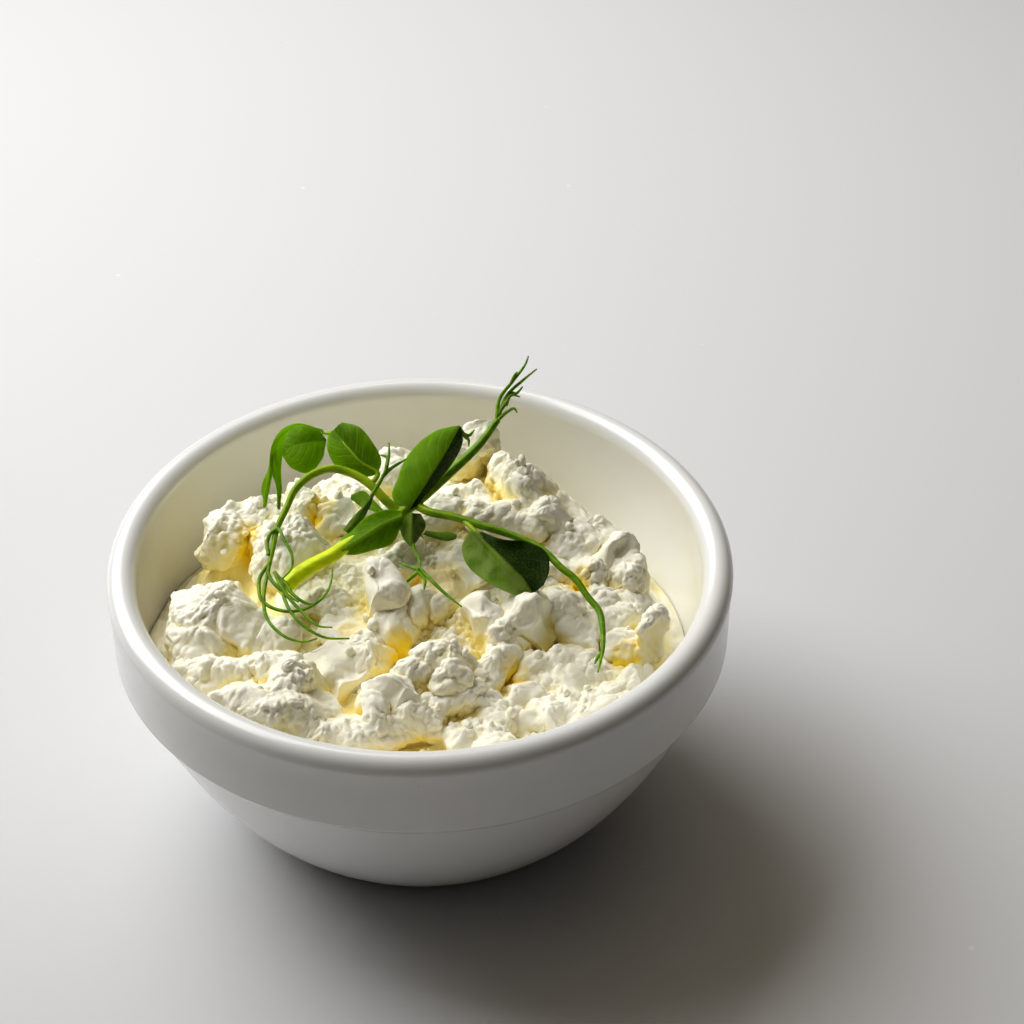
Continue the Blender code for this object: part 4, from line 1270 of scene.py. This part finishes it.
def add_piece(name, surface, values, material, node):
    """Makes a finished piece that stands for its CAD node, on the root body and with its finish slot."""
    if not np.isfinite(surface[0]).all():
        raise RuntimeError(f"{name} has points that are not numbers")
    obj = mesh_object(name, *surface)
    for value_name, numbers in values.items():
        set_point_values(obj, value_name, numbers)
    obj.data.materials.append(material)
    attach(obj, "root")
    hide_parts(node)


def shared_group(name, maker):
    """The named node group, made when it's first needed."""
    return bpy.data.node_groups.get(name) or maker()


# ---- Operators ----


class BuildBowl(bpy.types.Operator):
    """Turns the bowl's profile round its axis and glazes it"""

    bl_idname = "curd_bowl.bowl"
    bl_label = "Porcelain bowl"

    def execute(self, context):
        settings = context.scene.bowl_settings
        profile = bowl_profile(settings.step_depth / MM)
        rings = turned(profile[1:-1], settings.steps)
        first = [0.0, 0.0, profile[0][1]]
        last = [0.0, 0.0, profile[-1][1]]
        surface = closed_stack(rings, first, last)
        add_piece("porcelain_bowl", surface, {}, porcelain_material(settings), "bowl")
        return {"FINISHED"}


class BuildCurds(bpy.types.Operator):
    """Heaps the curds in the bowl: lumps by region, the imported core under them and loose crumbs"""

    bl_idname = "curd_bowl.curds"
    bl_label = "Curds"

    def execute(self, context):
        settings = context.scene.curd_settings
        spacing = settings.spacing / MM
        pieces = {"curd_core": core_surface(CORE_STEPS, CORE_RINGS)}
        regions = {name: [raised(row) for row in rows] for name, rows in CURD_LUMPS.items()}
        every = [row for rows in regions.values() for row in rows]
        seed = 100
        for name, rows in regions.items():
            parts = []
            for row in rows:
                seed += 1
                parts.append(lump(row, every, seed, spacing))
            pieces[name] = gather(parts)
        for part in pieces.values():
            keep_in_bowl(part[0], LUMP_GAP)
        ground = height_map([part[0] for part in pieces.values()])
        pieces["curd_crumbs"] = crumbs_on(ground, settings.crumb_count)
        envelope = blurred(ground, MAP_BLUR)
        material = curd_material(settings, shared_group("Curd grain", grain_group))
        for name, (points, quads, triangles, crease) in pieces.items():
            # hollow (depth under the blurred heap) and crease become cream in the material, partly the
            # curd's own colour and partly painted shade.
            below = look_up(envelope, points) - points[:, 2]
            hollow = smooth_step((below - 0.2) / 3.4)
            values = {"hollow": hollow, "crease": crease, "butter": yellow_share(points)}
            add_piece(name, (points, quads, triangles), values, material, "cottage_cheese")
        return {"FINISHED"}


class BuildShoot(bpy.types.Operator):
    """Grows the pea shoot: its stem and branches, its tendrils and its leaves"""

    bl_idname = "curd_bowl.shoot"
    bl_label = "Pea shoot"

    def execute(self, context):
        settings = context.scene.shoot_settings
        stalks = [
            tube(STEM, STEM_RADII, 150, 40, ribs=0.05, start_cut=True, shades=(0.0, 1.0)),
            tube(LEFT_BRANCH, LEFT_BRANCH_RADII, 130, 24, ribs=0.05, shades=(0.55, 0.7)),
            tube(RIGHT_BRANCH, RIGHT_BRANCH_RADII, 150, 24, ribs=0.05, shades=(0.6, 1.6)),
        ]
        stalks += [tube(route, STALK_RADII, 70, 18, shades=(0.6, 0.6)) for route in LEAF_STALKS.values()]
        curls = [tube(route, TENDRIL_RADII, 16 * len(route), 14) for route in TENDRILS.values()]
        stem_looks = stalk_material(settings, "pea stem", settings.stem_pale, settings.stem_green)
        curl_looks = stalk_material(settings, "pea tendril", settings.stem_green, settings.tendril_green)
        rounds = (("shoot_stem", stalks, stem_looks), ("shoot_tendrils", curls, curl_looks))
        for name, parts, material in rounds:
            *surface, along = gather(parts)
            add_piece(name, surface, {"along": along}, material, "pea_shoot")
        blades, values = [], []
        for index, edges in enumerate(LEAVES.values()):
            points, quads, triangles, across, along = leaf(edges, settings.leaf_rows, 18, 300 + 7 * index)
            blades.append((points, quads, triangles, across))
            looks = np.broadcast_to(edges["looks"], (len(points), 3))
            values.append(np.column_stack([along, looks]))
        *surface, across = gather(blades)
        # shade is the strength of the painted shade on each leaf's right half.
        along, pale, bright, shade = np.concatenate(values).T
        looks = {"across": across, "along": along, "paleness": pale, "brightness": bright, "shade": shade}
        material = leaf_material(settings, shared_group("Leaf veins", veins_group))
        add_piece("shoot_leaves", surface, looks, material, "pea_shoot")
        return {"FINISHED"}


class BuildStage(bpy.types.Operator):
    """Lays the table top and sets the soft lamp, the plain light from all round and the camera"""

    bl_idname = "curd_bowl.stage"
    bl_label = "Table, light and camera"

    def execute(self, context):
        settings = context.scene.stage_settings
        corners = np.array([[-1.0, -1.0, 0.0], [1.0, -1.0, 0.0], [1.0, 1.0, 0.0], [-1.0, 1.0, 0.0]])
        table = mesh_object("table_top", TABLE_REACH * corners, np.array([[0, 1, 2, 3]]))
        table.data.materials.append(table_material(settings))
        lamp_data = bpy.data.lights.new("soft_lamp", "AREA")
        lamp_data.shape = "SQUARE"
        lamp_data.size = settings.lamp_width
        lamp_data.energy = settings.lamp_power
        lamp_data.spread = math.radians(LAMP_SPREAD)
        lamp_data.color = LAMP_TINT
        lamp = bpy.data.objects.new("soft_lamp", lamp_data)
        lamp.location = settings.lamp_place
        lamp.rotation_euler = (Vector(LAMP_AIM) - lamp.location).to_track_quat("-Z", "Y").to_euler()
        context.scene.collection.objects.link(lamp)
        world = bpy.data.worlds.new("plain_sky")
        world.use_nodes = True
        tree = world.node_tree
        sky = tree.nodes["Background"]
        aim = add_node(tree, "ShaderNodeTexCoord").outputs["Generated"]
        toward = add_node(tree, "ShaderNodeVectorMath", {0: aim, 1: SKY_AIM}, operation="DOT_PRODUCT")
        fade = ranged(tree, toward.outputs["Value"], SKY_EDGE, 1.0)
        tint = mixed(tree, fade, colour(settings.sky_low), colour(settings.sky_high))
        tree.links.new(tint, sky.inputs["Color"])
        sky.inputs["Strength"].default_value = settings.sky_strength
        context.scene.world = world
        camera_data = bpy.data.cameras.new("camera")
        camera_data.lens = CAMERA_LENS
        camera_data.sensor_width = 36.0
        camera_data.clip_start = 0.01
        camera_data.clip_end = 20.0
        camera = bpy.data.objects.new("camera", camera_data)
        camera.location = [value * MM for value in CAMERA_PLACE]
        camera.rotation_euler = (math.radians(CAMERA_TILT), 0.0, 0.0)
        context.scene.collection.objects.link(camera)
        context.scene.camera = camera
        context.scene.view_settings.view_transform = "Standard"
        context.scene.view_settings.look = "None"
        return {"FINISHED"}


class BowlPanel(bpy.types.Panel):
    """Lists the pieces of the cottage cheese bowl with their settings"""

    bl_idname = "CURD_BOWL_PT_pieces"
    bl_label = "Cottage Cheese Bowl"
    bl_space_type = "VIEW_3D"
    bl_region_type = "UI"
    bl_category = "Curd Bowl"

    def draw(self, context):
        for (holder, kind), operator in zip(PIECE_SETTINGS, OPERATORS):
            box = self.layout.box()
            box.operator(operator.bl_idname)
            for name in kind.__annotations__:
                box.prop(getattr(context.scene, holder), name)


OPERATORS = (BuildBowl, BuildCurds, BuildShoot, BuildStage)


def register():
    for holder, kind in PIECE_SETTINGS:
        bpy.utils.register_class(kind)
        setattr(bpy.types.Scene, holder, bpy.props.PointerProperty(type=kind))
    for kind in OPERATORS:
        bpy.utils.register_class(kind)
    bpy.utils.register_class(BowlPanel)


def unregister():
    bpy.utils.unregister_class(BowlPanel)
    for kind in reversed(OPERATORS):
        bpy.utils.unregister_class(kind)
    for holder, kind in reversed(PIECE_SETTINGS):
        delattr(bpy.types.Scene, holder)
        bpy.utils.unregister_class(kind)


def main():
    """Builds every piece in order."""
    register()
    bpy.ops.curd_bowl.bowl()
    bpy.ops.curd_bowl.curds()
    bpy.ops.curd_bowl.shoot()
    bpy.ops.curd_bowl.stage()
    bpy.context.view_layer.update()


if __name__ == "__main__":
    main()
